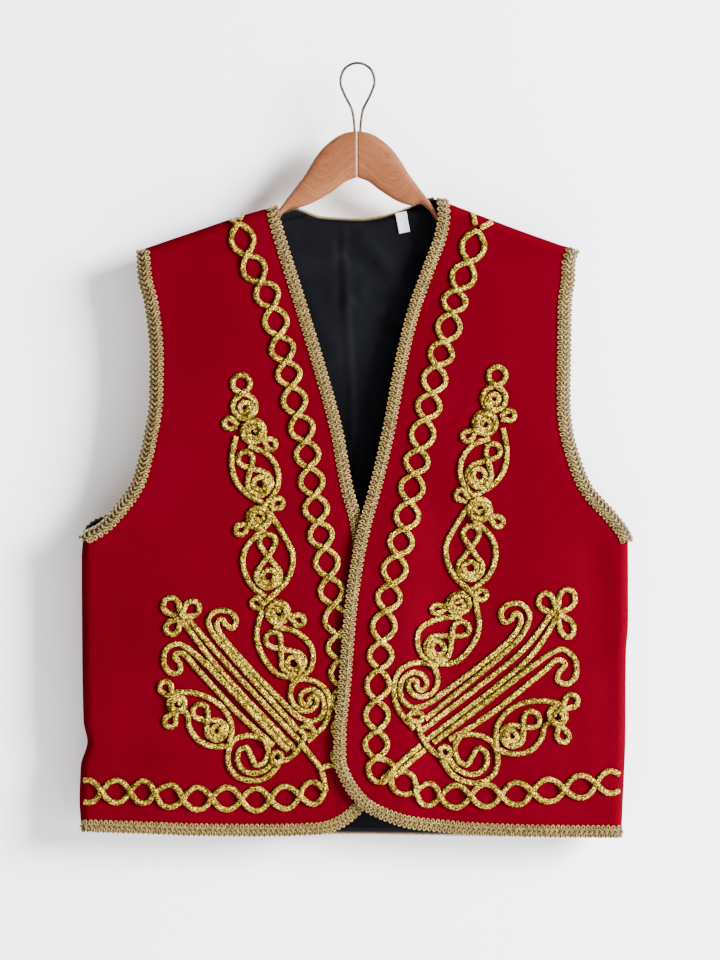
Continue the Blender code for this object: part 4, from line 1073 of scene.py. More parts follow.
def ground_strip(name, edge, inward, skin, shift, stand, wide):
    """A thin strip that lies along an edge, under the loops."""
    places, way = along_edge(edge, GROUND_START, GROUND_STEP)
    side = np.stack([-way[:, 1], way[:, 0]], axis=-1) * inward
    first = RING_ROWS[1] + (GROUND_FROM - RING_ROWS[1]) * wide + shift
    offs = np.linspace(max(first, GROUND_LIMIT), GROUND_TO + shift, GROUND_COLUMNS)
    held = None if stand == 0.0 else side * stand
    upper, lower = (
        np.stack([on_cloth(skin, places + side * off, lift, held)[0] for off in offs], 1)
        for lift in (GROUND_LIFT + GROUND_THICK, GROUND_LIFT))
    cut = np.stack(np.meshgrid(np.arange(len(places)) * GROUND_STEP, offs, indexing="ij"), axis=-1)
    _, faces = wall_faces(*upper.shape[:2])
    verts = np.concatenate([upper.reshape(-1, 3), lower.reshape(-1, 3)])
    maps = np.concatenate([cut.reshape(-1, 2)] * 2) * MM
    mesh = mapped_mesh(name, verts.tolist(), faces.tolist(), maps, [ground], (upper - lower)[0, 0])
    return belongs(linked(name, mesh))


# %% Sew the braids on
EDGE_POINTS, ARMHOLE_POINTS, HEM_POINTS = 500, 400, 260
BACK_POINTS = 300


def front_edge_line(sign):
    """From the neck down the front edge, round the corner and along the hem to the side."""
    edge_rows = EDGE_LEFT if sign < 0 else EDGE_RIGHT
    hem_rows = HEM_LEFT if sign < 0 else HEM_RIGHT
    downs = np.linspace(edge_rows[0][0], edge_rows[-1][0], EDGE_POINTS)
    down_part = np.stack([edge_at[sign](downs), downs], axis=-1)
    acrosses = np.linspace(hem_rows[0][0], hem_rows[-1][0], HEM_POINTS)
    hem_part = np.stack([acrosses, hem_at[sign](acrosses)], axis=-1)
    return np.concatenate([down_part, hem_part[1:]])


def armhole_line(sign, sides, past):
    """Down a side from the shoulder's tip to a little past the underarm."""
    downs = np.linspace(TIP[sign][1] + 1.0, UNDERARM[sign] + past, ARMHOLE_POINTS)
    return np.stack([sides[sign](downs), downs], axis=-1)


def neck_line():
    """Along the back's neck. The stiff braid keeps straighter than the cloth at the left end."""
    acrosses = np.linspace(NECK[-1][0] + 3.8, NECK[1][0] - 2.0, BACK_POINTS)
    straight = np.interp(acrosses, [NECK[-1][0], -50.0, -49.0], [132.9, 134.6, 200.0])
    return np.stack([acrosses, np.minimum(back_neck_at(acrosses), straight)], axis=-1)


def back_hem_line():
    acrosses = np.linspace(BACK_HEM[0][0] + 1.0, BACK_HEM[-1][0] - 1.0, BACK_POINTS)
    return np.stack([acrosses, back_hem_at(acrosses)], axis=-1)


EDGE_SHIFT = -0.8
ARMHOLE_STAND = 3.8
ARMHOLE_WIDE = 1.2
OVERHANG = -3.0
OVERHANG_PITCH = 3.3
# For each face of an armhole: its skin for each side, its side edges, how far its braid runs past the
# underarm, and its shift
ARMHOLE_FACES = {
    "front": (skins, side_at, 8.0, -3.2),
    "back": ({-1: back_skin, 1: back_skin}, back_side_at, 4.0, -1.2),
}

# A row for each braid: name, line, inward side, skin, shift, stand, width and pitch
braid_jobs = []
for sign, side in ((-1, "left"), (1, "right")):
    braid_jobs.append((
        f"front_{side}", front_edge_line(sign), -sign, skins[sign], EDGE_SHIFT, 0.0, 1.0, GIMP_PITCH))
    for face, (face_skins, sides, past, shift) in ARMHOLE_FACES.items():
        braid_jobs.append((
            f"armhole_{side}_{face}", armhole_line(sign, sides, past), sign, face_skins[sign], shift,
            ARMHOLE_STAND, ARMHOLE_WIDE, GIMP_PITCH))
braid_jobs.append(("back_neck", neck_line(), 1, back_skin, OVERHANG, 0.0, 1.0, OVERHANG_PITCH))
braid_jobs.append(("back_hem", back_hem_line(), -1, back_skin, OVERHANG, 0.0, 1.0, OVERHANG_PITCH))
for seed, (name, *where, pitch) in enumerate(braid_jobs, start=3):
    sew_gimp(name, braid_points(*where, pitch), seed)
    ground_strip(f"gimp_ground_{name}", *where)


# %% [markdown]
# ## Couched gold cord
# The pattern is laid in one soft, flat cord that is held down by hidden stitches. Its motifs are
# traditional ones: a chain of crossing strands beside the edge, and a column of drops, rings and coils
# that ends in scrolls. Rings, coils, buds and chains come from formulas, and the free curves from a few
# points each. The right front repeats the left one in mirror image, a little turned below.

# %% Motifs of the left front
CORD_HALF_WIDTH = 2.55
CORD_HALF_HEIGHT = 1.05
CORD_LIFT = 0.25
CHAIN_SWING = 10.2
LINK_ROUNDNESS = 0.16
CORD_STEP = 1.6

# Places where the two strands of a chain cross, across and down
CHAIN_LEFT = [
    (-108.4, 149.6), (-101.4, 177.0), (-87.5, 199.0), (-77.1, 222.3), (-71.8, 248.5), (-65.2, 271.9),
    (-60.2, 294.6), (-54.9, 320.5), (-46.7, 344.4), (-44.7, 368.7), (-38.8, 393.6), (-36.8, 418.2),
    (-29.8, 441.5), (-26.2, 468.2), (-21.4, 493.5), (-17.8, 520.6), (-15.4, 543.3), (-12.8, 568.0),
    (-11.8, 593.0), (-11.8, 619.0), (-12.4, 643.0),
]
CHAIN_RIGHT = [
    (108.9, 151.4), (101.9, 181.4), (90.6, 206.7), (86.2, 227.6), (80.1, 253.8), (72.2, 275.6),
    (67.9, 300.9), (61.7, 324.4), (56.7, 352.0), (51.3, 374.0), (47.7, 400.2), (42.5, 424.6),
    (36.4, 448.1), (31.2, 474.3), (25.9, 498.8), (21.5, 526.7), (20.5, 552.0), (16.6, 580.0),
    (18.5, 607.7), (15.7, 632.8),
]
HEM_CHAIN_LEFT = [
    (-258.0, 663.6), (-233.0, 663.6), (-206.6, 663.6), (-184.0, 664.5), (-158.8, 670.9), (-132.7, 669.0),
    (-105.6, 670.9), (-79.4, 670.9), (-52.4, 667.2), (-29.6, 662.7),
]
HEM_CHAIN_RIGHT = [
    (30.6, 647.0), (52.9, 663.6), (75.2, 669.0), (103.1, 667.2), (130.9, 667.2), (159.1, 663.6),
    (188.8, 661.7), (217.5, 656.3), (244.0, 654.0),
]
# Buds: a small loop over a larger one that curls in, as across, down and radius of each
BUDS = [
    (-105.8, 292.0, 7.9, -103.0, 313.0, 10.6, 4.4),
    (-102.1, 360.6, 6.6, -89.4, 382.6, 11.0, 5.7),
    (-82.0, 436.2, 7.4, -81.2, 467.0, 11.0, 5.8),
    (-76.8, 524.9, 6.9, -58.8, 546.4, 10.6, 5.7),
    (-143.1, 590.6, 6.8, -128.4, 607.6, 9.0, 4.4),
]
# Eyelets: single small rings, as across, down, radius
EYELETS = [(-73.4, 632.3, 4.6)]
# Ears: small loops that grow out of a coil or a crossing, as across and down of the loop, then of
# what it grows from, and its radius
EARS = [
    (-117.0, 328.4, -94.8, 335.3, 4.6), (-78.8, 347.4, -94.8, 335.3, 4.6), (-72.4, 400.7, -89.8, 414.3, 4.6),
    (-106.6, 425.3, -89.8, 414.3, 4.6), (-92.2, 491.8, -72.5, 500.3, 4.4), (-53.2, 507.6, -72.5, 500.3, 4.8),
    (-169.9, 494.0, -160.8, 505.2, 7.2), (-150.4, 496.6, -160.8, 505.2, 6.6),
    (-168.8, 514.4, -160.8, 505.2, 6.0), (-174.8, 568.6, -166.0, 580.0, 5.4),
    (-170.6, 599.6, -165.0, 588.0, 5.2),
]
# Coils: a cord wound up tight, as across, down, outer radius and the turn it starts at
COILS = [
    (-94.8, 335.3, 12.6, 200.0), (-89.8, 414.3, 12.2, 20.0), (-72.5, 500.3, 12.2, 200.0),
    (-164.2, 583.4, 9.8, 40.0),
]
SCROLLS = {
    "first drop left": [
        (-110.8, 340.0), (-114.6, 359.9), (-111.9, 378.1), (-102.6, 390.9), (-86.3, 401.0)],
    "first drop right": [
        (-99.0, 349.0), (-82.5, 356.2), (-73.4, 369.0), (-73.0, 386.3), (-85.3, 403.0), (-92.0, 407.0)],
    "second drop left": [
        (-85.0, 424.0), (-100.8, 440.1), (-104.4, 455.6), (-98.0, 473.9), (-81.6, 488.0)],
    "second drop right": [
        (-80.0, 410.0), (-66.2, 431.9), (-58.8, 449.3), (-64.3, 471.1), (-81.6, 489.0), (-86.0, 493.0)],
    "third drop left": [
        (-87.0, 498.0), (-91.9, 521.3), (-86.2, 540.5), (-73.4, 556.0), (-55.2, 561.0)],
    "third drop right": [
        (-76.0, 513.0), (-55.2, 518.6), (-41.5, 533.2), (-42.4, 550.5), (-53.0, 561.5)],
    "upper scroll outer": [
        (-60.0, 561.0), (-49.6, 561.0), (-37.6, 563.9), (-28.8, 571.4), (-25.6, 580.6), (-25.6, 590.4),
        (-29.6, 602.0), (-37.2, 610.4), (-45.6, 617.6)],
    "upper scroll inner": [
        (-54.4, 561.0), (-58.6, 565.6), (-61.0, 572.0), (-60.7, 579.0), (-57.3, 585.2), (-51.9, 589.2),
        (-45.6, 590.3), (-39.9, 587.5), (-36.9, 582.6), (-37.6, 578.4), (-41.3, 576.7), (-44.0, 578.8),
        (-43.6, 582.2)],
    "upper scroll heart": [
        (-43.0, 580.6), (-46.4, 584.8), (-50.8, 582.6), (-52.2, 577.2), (-48.6, 572.2), (-41.7, 570.5),
        (-35.2, 573.8), (-31.2, 580.0), (-30.4, 586.6), (-32.0, 593.2), (-36.4, 597.8), (-42.7, 599.8),
        (-49.4, 598.2), (-55.6, 594.2), (-62.0, 588.4)],
    "rosette": [
        (-39.4, 609.6), (-41.4, 605.6), (-47.0, 603.6), (-51.6, 605.4), (-51.0, 609.4), (-45.8, 611.6),
        (-39.8, 610.2)],
    "trefoil stem left": [(-162.6, 504.0), (-128.8, 548.6), (-96.3, 584.4), (-57.0, 625.0)],
    "trefoil stem right": [(-158.0, 502.0), (-121.9, 544.2), (-88.1, 580.6), (-50.8, 619.6)],
    "middle filler": [(-139.0, 545.0), (-98.3, 589.6), (-63.0, 626.3)],
    "upper hook": [
        (-54.2, 607.8), (-110.2, 545.0), (-133.0, 517.0), (-135.6, 506.0), (-127.5, 499.0),
        (-116.6, 500.0), (-110.4, 507.2), (-113.9, 514.6), (-120.1, 511.4), (-122.9, 506.6),
        (-128.2, 509.4), (-126.2, 517.6), (-96.3, 553.2), (-62.0, 588.4)],
    "lower hook": [
        (-66.4, 622.9), (-119.5, 566.6), (-152.7, 534.4), (-165.1, 529.0), (-174.6, 534.9),
        (-176.2, 546.6), (-169.6, 555.6), (-161.4, 553.7), (-162.0, 546.4), (-166.6, 539.6),
        (-160.0, 537.2), (-146.3, 551.6), (-112.6, 588.6), (-92.0, 608.0), (-76.0, 621.0)],
    "lyre foot": [(-72.7, 637.3), (-61.4, 632.6), (-52.2, 622.5), (-47.6, 611.5)],
    "lower scroll outer": [
        (-76.1, 621.0), (-86.1, 615.4), (-100.9, 612.7), (-112.6, 616.8), (-117.6, 626.7),
        (-117.4, 639.6), (-110.2, 649.4), (-96.3, 653.8), (-82.3, 650.3), (-71.3, 638.8)],
    "lower scroll inner": [
        (-84.6, 616.0), (-81.4, 626.7), (-85.4, 637.1), (-92.4, 639.6), (-96.8, 631.5), (-101.3, 623.2),
        (-108.4, 627.0), (-108.4, 638.6), (-99.6, 646.4), (-86.6, 645.2), (-75.3, 635.5)],
    "spray top": [
        (-116.2, 618.5), (-114.6, 603.6), (-121.9, 588.4), (-135.8, 578.0), (-153.3, 573.1),
        (-170.4, 573.9)],
    "spray foot": [
        (-115.2, 620.9), (-130.0, 622.8), (-145.1, 616.4), (-153.3, 603.6), (-154.3, 594.3),
        (-158.9, 588.8)],
}
LEFT_STEMS = [
    [(-51.7, 619.3), (-40.4, 633.8), (-33.5, 643.1), (-28.6, 662.7)],
    [(-34.3, 643.6), (-24.8, 639.5), (-11.0, 643.0)],
]
RIGHT_STEMS = [
    [(57.0, 621.0), (42.0, 634.0), (30.6, 645.0), (22.0, 652.0)],
    [(61.0, 625.0), (46.0, 638.0), (33.6, 649.0)],
    [(15.7, 632.8), (9.6, 641.0), (13.6, 652.0), (23.0, 654.5), (30.6, 647.0)],
    [(15.7, 632.8), (26.0, 634.6), (32.6, 640.0), (30.6, 647.0)],
]

# %% Where a motif lies on the right front
MIRROR_SUM = 21.5
RIGHT_LIFT = 7.4
LOWER_START = 485.0
LOWER_RUN = 60.0
SPREAD_START = 535.0
SPREAD_AXIS = -62.3
LOWER_TURN = 0.21
LOWER_DRAW = 0.11
LOWER_SPREAD = 0.07
TURN_AXIS = -93.0


def on_right(places):
    across, down = places[:, 0], places[:, 1]
    lower = soft_step((down - LOWER_START) / LOWER_RUN)
    below = np.maximum(0.0, down - LOWER_START)
    new_across = MIRROR_SUM - across - LOWER_DRAW * below - LOWER_SPREAD * (across - SPREAD_AXIS) * lower
    new_down = down - RIGHT_LIFT - LOWER_TURN * (across - TURN_AXIS) * lower
    new_down = new_down + LOWER_SPREAD * np.maximum(0.0, down - SPREAD_START)
    return np.stack([new_across, new_down], axis=-1)


# %% Curves of the motifs
def evenly(places, step=CORD_STEP):
    """The same line with points at an even step."""
    places = np.asarray(places, float)
    far = distances(places)
    count = max(3, round(far[-1] / step))
    return read_along(places, far, np.linspace(0.0, far[-1], count + 1))


def flowing(points, closed=False):
    """A smooth line through a few points."""
    row = np.asarray(points, float)
    if closed:
        row = np.concatenate([row[-1:], row, row[:2]])
    else:
        row = np.concatenate([[2 * row[0] - row[1]], row, [2 * row[-1] - row[-2]]])
    out = [row[1]]
    for a, b, c, d in zip(row, row[1:], row[2:], row[3:]):
        spans = [max(np.hypot(*(q - p)), 1e-6) ** 0.5 for p, q in ((a, b), (b, c), (c, d))]
        m1 = (c - b) / spans[1] - (c - a) / (spans[0] + spans[1]) + (b - a) / spans[0]
        m2 = (d - c) / spans[2] - (d - b) / (spans[1] + spans[2]) + (c - b) / spans[1]
        m1, m2 = m1 * spans[1], m2 * spans[1]
        for t in np.linspace(0.0, 1.0, 13)[1:]:
            out.append((2 * t**3 - 3 * t**2 + 1) * b + (t**3 - 2 * t**2 + t) * m1
                       + (3 * t**2 - 2 * t**3) * c + (t**3 - t**2) * m2)
    return evenly(out)


def round_points(across, down, radius, start, end, count):
    angle = np.radians(np.linspace(start, end, count))
    return [(across + radius * math.cos(a), down + radius * math.sin(a)) for a in angle]


def bud(a1, d1, r1, a2, d2, r2, inner):
    """A figure of eight that crosses at its waist, and whose larger loop curls in to a small ring."""
    small, large = np.array([a1, d1]), np.array([a2, d2])
    way = (large - small) / np.hypot(*(large - small))
    side = np.array([-way[1], way[0]])

    def at(middle, radius, degrees):
        angle = math.radians(degrees)
        return middle + (way * math.cos(angle) + side * math.sin(angle)) * radius

    points = [at(large, r2, a) for a in (-10, -45, -80, -112, -140)]
    points += [at(small, r1, a) for a in (52, 90, 130, 180, 230, 270, 308)]
    points += [at(large, r2, a) for a in (140, 112, 80, 45, 12)]
    for k in range(1, 17):
        share = k / 16
        fall = min(1.0, share * 3.0)
        points.append(at(large + way * 0.6 * fall, r2 + (inner - r2) * fall, 12.0 - 470.0 * share))
    return flowing(points)


def ear(a1, d1, a2, d2, radius):
    """A small loop whose two legs come out of a coil or a crossing."""
    loop, root = np.array([a1, d1]), np.array([a2, d2])
    way = (loop - root) / np.hypot(*(loop - root))
    side = np.array([-way[1], way[0]])
    shape = [(-1.8, 0.16), (-1.05, 0.56), (-0.3, 0.96), (0.52, 0.86), (1.0, 0.0), (0.52, -0.86),
             (-0.3, -0.96), (-1.05, -0.56), (-1.8, -0.16)]
    return flowing([loop + (way * x + side * y) * radius for x, y in shape])


TURN_POINTS = 12
TURN_GAP = 2.0 * CORD_HALF_WIDTH - 0.2
COIL_HEART = 1.6


def coil(across, down, radius, start):
    """A flat coil, wound from its outer turn to its middle."""
    points = []
    outer = radius - CORD_HALF_WIDTH
    turns = 1.0 + (outer - 2.0) / TURN_GAP
    for k in range(int(turns * TURN_POINTS) + 1):
        turn = k / TURN_POINTS
        reach = max(outer - max(0.0, turn - 0.9) * TURN_GAP, COIL_HEART)
        angle = math.radians(start + 360.0 * turn)
        points.append((across + reach * math.cos(angle), down + reach * math.sin(angle)))
    return flowing(points)


STRAND_RISE, RISE_LENGTH = 1.7, 5.0


def chain_strands(crossings):
    """Two strands that swing apart and cross at each given place, over and under in turn."""
    row = np.asarray(crossings, float)
    strands = []
    for turn in (1.0, -1.0):
        places, heights = [], []
        for k, (a, b) in enumerate(zip(row, row[1:])):
            step = b - a
            side = np.array([-step[1], step[0]]) / np.hypot(*step)
            for t in np.linspace(0.0, 1.0, 19)[:-1]:
                swing = CHAIN_SWING * math.sin(math.pi * t) * turn * (1 if k % 2 == 0 else -1)
                t = t - LINK_ROUNDNESS * math.sin(2.0 * math.pi * t) / (2.0 * math.pi)
                places.append(a + step * t + side * swing)
                over_a = (k % 2 == 0) == (turn > 0)
                near_a, near_b = t * np.hypot(*step), (1.0 - t) * np.hypot(*step)
                heights.append(math.exp(-((near_a if over_a else near_b) / RISE_LENGTH) ** 2))
        places.append(row[-1])
        heights.append(0.0)
        strands.append((np.array(places), np.array(heights) * STRAND_RISE))
    return strands


# %% Lay cord over cord
LAYER = 1.55
MOST_LAYERS = 2
# Cords nearer than this touch, and one lies full on the other within the lesser distance
TOUCH, FULL_ON = 4.6, 2.2
CELL = 6.0
# A cord's own last points don't lift it
OWN_POINTS = 9
SMOOTHING = np.array([1.0, 2.0, 3.0, 2.0, 1.0]) / 9.0


class Laying:
    """Keeps what lies on the cloth already, so the next cord goes over it."""

    def __init__(self):
        self.taken = {}

    def cell(self, place):
        return int(place[0] // CELL), int(place[1] // CELL)

    def near(self, place):
        a, d = self.cell(place)
        for x in (a - 1, a, a + 1):
            for y in (d - 1, d, d + 1):
                yield from self.taken.get((x, y), ())

    def keep(self, place, height):
        self.taken.setdefault(self.cell(place), []).append((place, height))

    def lay(self, places):
        """Heights for a new cord: it rises where it crosses an older one or itself."""
        heights = np.zeros(len(places))
        for k, place in enumerate(places):
            top = 0.0
            for other, height in self.near(place):
                away = math.hypot(place[0] - other[0], place[1] - other[1])
                if away < TOUCH:
                    top = max(top, (height + LAYER) * (1.0 - soft_step((away - FULL_ON) / (TOUCH - FULL_ON))))
            heights[k] = min(top, MOST_LAYERS * LAYER)
            if k >= OWN_POINTS:
                self.keep(places[k - OWN_POINTS], heights[k - OWN_POINTS])
        for k in range(max(0, len(places) - OWN_POINTS), len(places)):
            self.keep(places[k], heights[k])
        padded = np.concatenate([heights[:1]] * 2 + [heights] + [heights[-1:]] * 2)
        return np.convolve(padded, SMOOTHING, mode="valid")


# %% The cord's node tree
CORD_INPUTS = [
    ("Path", "Geometry", None), ("Half Width", "Float", 2.6 * MM), ("Half Height", "Float", 1.0 * MM),
    ("Finish", "Material", None),
]


def cord_tree():
    """Sweeps a flat oval along a path, with its flat side to the cloth."""
    tree, given, result = new_tree("couched_cord", "Cord", *CORD_INPUTS)
    circle = put(tree, "GeometryNodeCurvePrimitiveCircle", {"Resolution": 12, "Radius": 1.0})
    turned = put(tree, "GeometryNodeTransform", {
        "Geometry": circle.outputs["Curve"], "Rotation": (0.0, 0.0, math.radians(180.0))})
    oval = put(tree, "GeometryNodeTransform", {
        "Geometry": turned, "Scale": vector(tree, given["Half Height"], given["Half Width"], 1.0)})
    curve = put(tree, "GeometryNodeMeshToCurve", {"Mesh": given["Path"]})
    aimed = put(tree, "GeometryNodeSetCurveNormal", {
        "Curve": curve, "Normal": named(tree, "outward", "FLOAT_VECTOR")}, mode="FREE")
    finished(tree, swept(tree, aimed, oval), named(tree, "around"), given["Finish"], result)
    return tree


cord_nodes = cord_tree()

# %% Couch the cord on both fronts
CHAIN_REACH = {-1: 250.0, 1: 239.0}


def left_as_is(places):
    return np.asarray(places, float)


def motif_lines(place_of):
    """Every motif but the chains, in the order in which it is laid."""
    lines = [flowing(row) for row in SCROLLS.values()]
    for shape, table in ((bud, BUDS), (ear, EARS), (coil, COILS)):
        lines += [shape(*row) for row in table]
    lines += [flowing(round_points(a, d, r, 20.0, 372.0, 11)) for a, d, r in EYELETS]
    return [evenly(place_of(line)) for line in lines]


def couch(side, sign, place_of, chains, stems):
    """Lays every cord of one front, from the chains to the scrolls."""
    laying = Laying()
    lines = []
    for crossings in chains:
        pair = chain_strands(crossings)
        for places, heights in pair:
            keep = np.abs(places[:, 0]) < CHAIN_REACH[sign]
            lines.append((places[keep], heights[keep]))
        for places, heights in pair:
            laying.lay(places)
    for places in motif_lines(place_of) + [flowing(row) for row in stems]:
        lines.append((places, laying.lay(places)))
    verts, edges, outs = [], [], []
    total = 0.0
    for places, heights in lines:
        base = len(verts)
        point, out = on_cloth(skins[sign], places, CORD_LIFT + CORD_HALF_HEIGHT)
        point = point + out * (heights[:, None] * MM)
        verts += point.tolist()
        outs += out.tolist()
        edges += [(base + k, base + k + 1) for k in range(len(places) - 1)]
        total += float(np.linalg.norm(np.diff(point, axis=0), axis=1).sum())
    mesh = bpy.data.meshes.new(f"couched_{side}")
    mesh.from_pydata(verts, edges, [])
    layer = mesh.attributes.new("outward", "FLOAT_VECTOR", "POINT")
    layer.data.foreach_set("vector", np.array(outs).ravel())
    made = made_real(f"couched_cord_{side}", mesh, cord_nodes, {
        "Half Width": CORD_HALF_WIDTH * MM, "Half Height": CORD_HALF_HEIGHT * MM, "Finish": glitter})
    print(made.name, "cord, metres:", round(total, 2), "triangles:", 2 * len(made.data.polygons))
    return belongs(made, f"cordwork_{side}")


SHOULDER_STARTS = {-1: [[(-105.0, 143.0), (-107.4, 147.4)], [(-115.6, 146.6), (-110.4, 148.8)]],
                   1: [[(104.6, 136.6), (107.6, 146.6)], [(122.4, 144.0), (112.0, 149.4)]]}
couch("left", -1, left_as_is, [CHAIN_LEFT, HEM_CHAIN_LEFT], LEFT_STEMS + SHOULDER_STARTS[-1])
couch("right", 1, on_right, [CHAIN_RIGHT, HEM_CHAIN_RIGHT], RIGHT_STEMS + SHOULDER_STARTS[1])

# %% [markdown]
# ## The hanger
# Two arms of beech meet in a mitre. Each arm is one run of rounded sections along its length, so the
# grain map follows the wood. The wire loop is a bevelled curve, made a mesh at the end.

# %% The wooden arms
ARM_TOP = [
    (0.0, 60.8), (8.0, 61.7), (16.5, 64.9), (25.0, 70.8), (30.5, 75.6), (39.0, 86.4), (47.5, 100.2),
    (56.0, 111.6), (61.0, 118.2), (66.0, 124.8), (73.0, 135.0),
]
# The two feet differ a little at the wrist, where each arm goes under its shoulder
ARM_FOOT = [(66.0, 135.0), (73.0, 143.0), (80.0, 150.0), (120.0, 162.5), (160.0, 178.5), (187.0, 186.0)]
ARM_ARCH = [(0.0, 103.1), (10.0, 107.0), (20.0, 114.6), (42.0, 127.2)]
ARM_BOTTOM = {
    -1: ARM_ARCH + [(53.0, 131.0), (60.0, 132.0)] + ARM_FOOT,
    1: ARM_ARCH + [(50.0, 129.0), (57.0, 127.2), (62.0, 129.6), (66.0, 133.4)] + ARM_FOOT[1:],
}
WOOD_THICK = 12.4
WOOD_REACH = 186.0
TIP_START = 174.0
HANGER_SEAT = 1.3
MITRE_ACROSS = -0.5
ARM_SIDES = 28
ARM_POWER = 0.77
ARM_THINNING = 0.12
ARM_OUTS = np.concatenate([
    np.linspace(0.0, 80.0, 41), np.linspace(84.0, 172.0, 23),
    TIP_START + (WOOD_REACH - TIP_START) * np.sin(np.radians(np.linspace(0.0, 90.0, 9)))])


def squared(value):
    """Turns a circle's point outwards, to a rounded square's."""
    return math.copysign(abs(value) ** ARM_POWER, value)


def arm(name, sign, replaced):
    """One arm of the hanger: rounded sections from the mitre to the tip under the shoulder."""
    top_at, foot_at = smooth_curve(ARM_TOP), smooth_curve(ARM_BOTTOM[sign])
    verts, faces, maps = [], [], []
    for out in ARM_OUTS:
        line = max(float(shoulder_line(-out)), float(shoulder_line(out))) + CLOTH_WALL + HANGER_SEAT
        joined = float(soft_step((out - 70.0) / 10.0))
        top = float(top_at(out)) * (1.0 - joined) + line * joined
        foot = float(foot_at(out))
        shrink = math.sqrt(max(0.02, 1.0 - (max(0.0, out - TIP_START) / (WOOD_REACH + 0.6 - TIP_START)) ** 2))
        middle, half_high = (top + foot) / 2, (foot - top) / 2 * shrink
        half_thick = WOOD_THICK / 2 * (1.0 - ARM_THINNING * out / WOOD_REACH) * shrink
        for k in range(ARM_SIDES):
            angle = 2 * math.pi * k / ARM_SIDES
            depth, high = half_thick * squared(math.cos(angle)), half_high * squared(math.sin(angle))
            across = MITRE_ACROSS + sign * (out + 0.15)
            verts.append((across * MM, -depth * MM, -(middle - high) * MM))
            maps.append((out * MM, (high + half_high * 3.0 + depth * 0.6) * MM))
    rings = len(ARM_OUTS)
    for r in range(rings - 1):
        for k in range(ARM_SIDES):
            a, b = r * ARM_SIDES + k, r * ARM_SIDES + (k + 1) % ARM_SIDES
            faces.append((a, b, b + ARM_SIDES, a + ARM_SIDES)[::-sign])
    faces.append(tuple(range(ARM_SIDES))[::sign])
    faces.append(tuple(range((rings - 1) * ARM_SIDES, rings * ARM_SIDES))[::-sign])
    mesh = mapped_mesh(name, verts, faces, maps, [beech])
    mesh.polygons[len(mesh.polygons) - 2].use_smooth = False
    print(name, "sections:", rings)
    return belongs(linked(name, mesh), replaced)


arms = {
    sign: arm(f"wooden_arm_{side}", sign, f"hanger_arm_{side}") for sign, side in ((-1, "left"), (1, "right"))
}

# %% The wire loop
WIRE_RADIUS = 1.25
WIRE_HALF = [
    (-2.5, 63.4), (-3.2, 52.0), (-5.2, 41.0), (-11.6, 28.0), (-15.6, 16.0), (-12.6, 5.0), (-6.4, 0.0),
]
WIRE_TOP = [(-0.6, -1.35)]


def bent_wire():
    """A drop-shaped loop of round wire, both of whose legs go down into the wood."""
    right = [(-a, d) for a, d in reversed(WIRE_HALF)]
    path = flowing(WIRE_HALF + WIRE_TOP + right)
    curve = bpy.data.curves.new("wire", "CURVE")
    curve.dimensions = "3D"
    curve.bevel_depth = WIRE_RADIUS * MM
    curve.bevel_resolution = 4
    curve.use_fill_caps = True
    spline = curve.splines.new("POLY")
    spline.points.add(len(path) - 1)
    for point, (across, down) in zip(spline.points, path):
        point.co = (across * MM, 0.0, -down * MM, 1.0)
    holder = linked("wire", curve)
    graph = bpy.context.evaluated_depsgraph_get()
    mesh = bpy.data.meshes.new_from_object(holder.evaluated_get(graph))
    bpy.data.objects.remove(holder)
    mesh.materials.clear()
    mesh.materials.append(wire)
    mesh.polygons.foreach_set("use_smooth", [True] * len(mesh.polygons))
    return belongs(linked("wire_loop", mesh), "hanger_loop")


bent_wire()

# %% [markdown]
# ## The label
# A short woven tape is sewn under the neck edge, with a second, shorter one over its top. Both are left
# bare.

# %% The label
LABEL_MIDDLE = (41.4, 144.0)
LABEL_SIZE = (10.0, 18.6)
LABEL_TURN = math.radians(-11.0)
SHEET_TOP = 140.0
TAPE_WALL = 0.35
TAPE_COLUMNS, TAPE_ROWS = 8, 16
EDGE_CURL, FOOT_CURL = 0.5, 0.5
FOOT_START, FOOT_RUN = 6.0, 4.0


def tape_piece(name, width, top, bottom, lift):
    """A small tape on the lining, a little curled at its edges and its foot."""
    x = np.linspace(-width / 2, width / 2, TAPE_COLUMNS + 1)
    y = np.linspace(top, bottom, TAPE_ROWS + 1)
    grid = np.array([[(a, d) for a in x] for d in y])
    across = LABEL_MIDDLE[0] + grid[..., 0] * math.cos(LABEL_TURN) - grid[..., 1] * math.sin(LABEL_TURN)
    down = LABEL_MIDDLE[1] + grid[..., 0] * math.sin(LABEL_TURN) + grid[..., 1] * math.cos(LABEL_TURN)
    sheet_depth = lining_skin(across, np.maximum(down, SHEET_TOP))[..., 1] / MM - LINING_WALL
    curl = EDGE_CURL * (np.abs(grid[..., 0]) / (width / 2)) ** 3
    curl = curl + FOOT_CURL * soft_step((grid[..., 1] - FOOT_START) / FOOT_RUN)
    points = np.stack([across, sheet_depth - lift - curl, -down], axis=-1) * MM
    return cloth_wall(name, points, grid, TAPE_WALL, [tape], flip=True)


wide, long = LABEL_SIZE
belongs(tape_piece("neck_label", wide, -long / 2, long / 2, 1.1), "label")
belongs(tape_piece("neck_label_over", wide + 0.3, -long / 2 - 0.2, -4.6, 1.7))

# %% [markdown]
# ## Cloth sheets
# Each cloth piece is listed with the grid of points it was cut from and one other piece.


sheets = [
    (fronts[-1], front_grid(-1), arms[-1]), (fronts[1], front_grid(1), arms[1]),
    (red_back, back_grid(), arms[-1]), (lining, lining_grid(), red_back),
]

# %% [markdown]
# ## The room
# The vest hangs before a pale wall, so its soft shadow shows beside it. The wall is seen only from its
# front: from behind it lets the view and the light pass, so that the back of the vest can be looked at.

# %% Wall and floor
WALL_PLACE = 0.034
FLOOR_DROP = -1.35


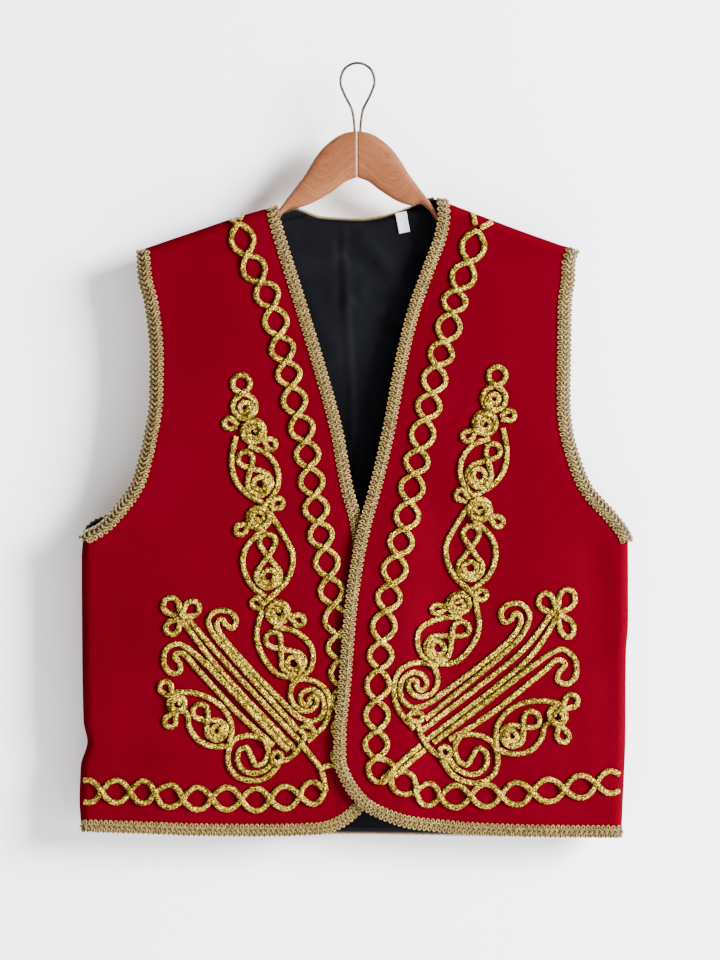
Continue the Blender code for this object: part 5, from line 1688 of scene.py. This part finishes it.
def pale_paint(name, colour, one_sided):
    """A plain matt paint, hardly speckled."""
    made, tree, shader = finish_named(name, 0.9)
    speckle = noise(tree, own_place(tree), 40.0, 3.0)
    tone = ramp(tree, speckle, (0.3, tuple(c * 0.985 for c in colour)), (0.7, colour))
    tree.links.new(tone, shader.inputs["Base Color"])
    if one_sided:
        clear = put(tree, "ShaderNodeBsdfTransparent")
        behind = put(tree, "ShaderNodeNewGeometry")
        mix = put(tree, "ShaderNodeMixShader", {0: behind.outputs["Backfacing"], 1: shader.outputs[0],
                                                2: clear.outputs[0]})
        tree.links.new(mix.outputs[0], tree.nodes["Material Output"].inputs["Surface"])
    return made


def flat_sheet(name, corners, finish):
    mesh = bpy.data.meshes.new(name)
    mesh.from_pydata(corners, [], [(0, 1, 2, 3)])
    mesh.materials.append(finish)
    made = linked(name, mesh)
    return made


FAR, WALL_TOP = 6.0, 3.0
wall = flat_sheet("pale_wall", [
    (-FAR, WALL_PLACE, FLOOR_DROP), (FAR, WALL_PLACE, FLOOR_DROP),
    (FAR, WALL_PLACE, WALL_TOP), (-FAR, WALL_PLACE, WALL_TOP),
], pale_paint("wall_paint", (0.89, 0.90, 0.91), True))
wall.visible_shadow = False
flat_sheet("pale_floor", [
    (-FAR, -FAR, FLOOR_DROP), (FAR, -FAR, FLOOR_DROP), (FAR, FAR, FLOOR_DROP), (-FAR, FAR, FLOOR_DROP),
], pale_paint("floor_paint", (0.66, 0.66, 0.66), False))

# %% Lights
VEST_MIDDLE = Vector((0.0, 0.0, -0.38))


def soft_light(name, place, size, power):
    """A large lamp that looks at the middle of the vest."""
    lamp = bpy.data.lights.new(name, "AREA")
    lamp.shape = "RECTANGLE"
    lamp.size, lamp.size_y = size
    lamp.energy = power
    made = linked(name, lamp)
    made.location = place
    made.rotation_euler = (VEST_MIDDLE - Vector(place)).to_track_quat("-Z", "Y").to_euler()


soft_light("window", (4.4, -2.8, 1.0), (2.0, 2.1), 2110.0)
soft_light("front_fill", (-0.9, -2.8, 0.3), (2.2, 1.8), 5.0)
soft_light("rear_window", (-0.9, 2.2, 0.8), (2.4, 2.0), 520.0)
room = bpy.data.worlds.new("pale_room")
room.use_nodes = True
room.node_tree.nodes["Background"].inputs["Color"].default_value = (0.92, 0.94, 1.0, 1.0)
room.node_tree.nodes["Background"].inputs["Strength"].default_value = 0.10
bpy.context.scene.world = room

# %% Sizes for the record, and the end
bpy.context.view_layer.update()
triangles = sum(len(p.vertices) - 2 for o in bpy.context.scene.objects
                if o.type == "MESH" and not o.hide_render for p in o.data.polygons)
print("triangles in all:", triangles)
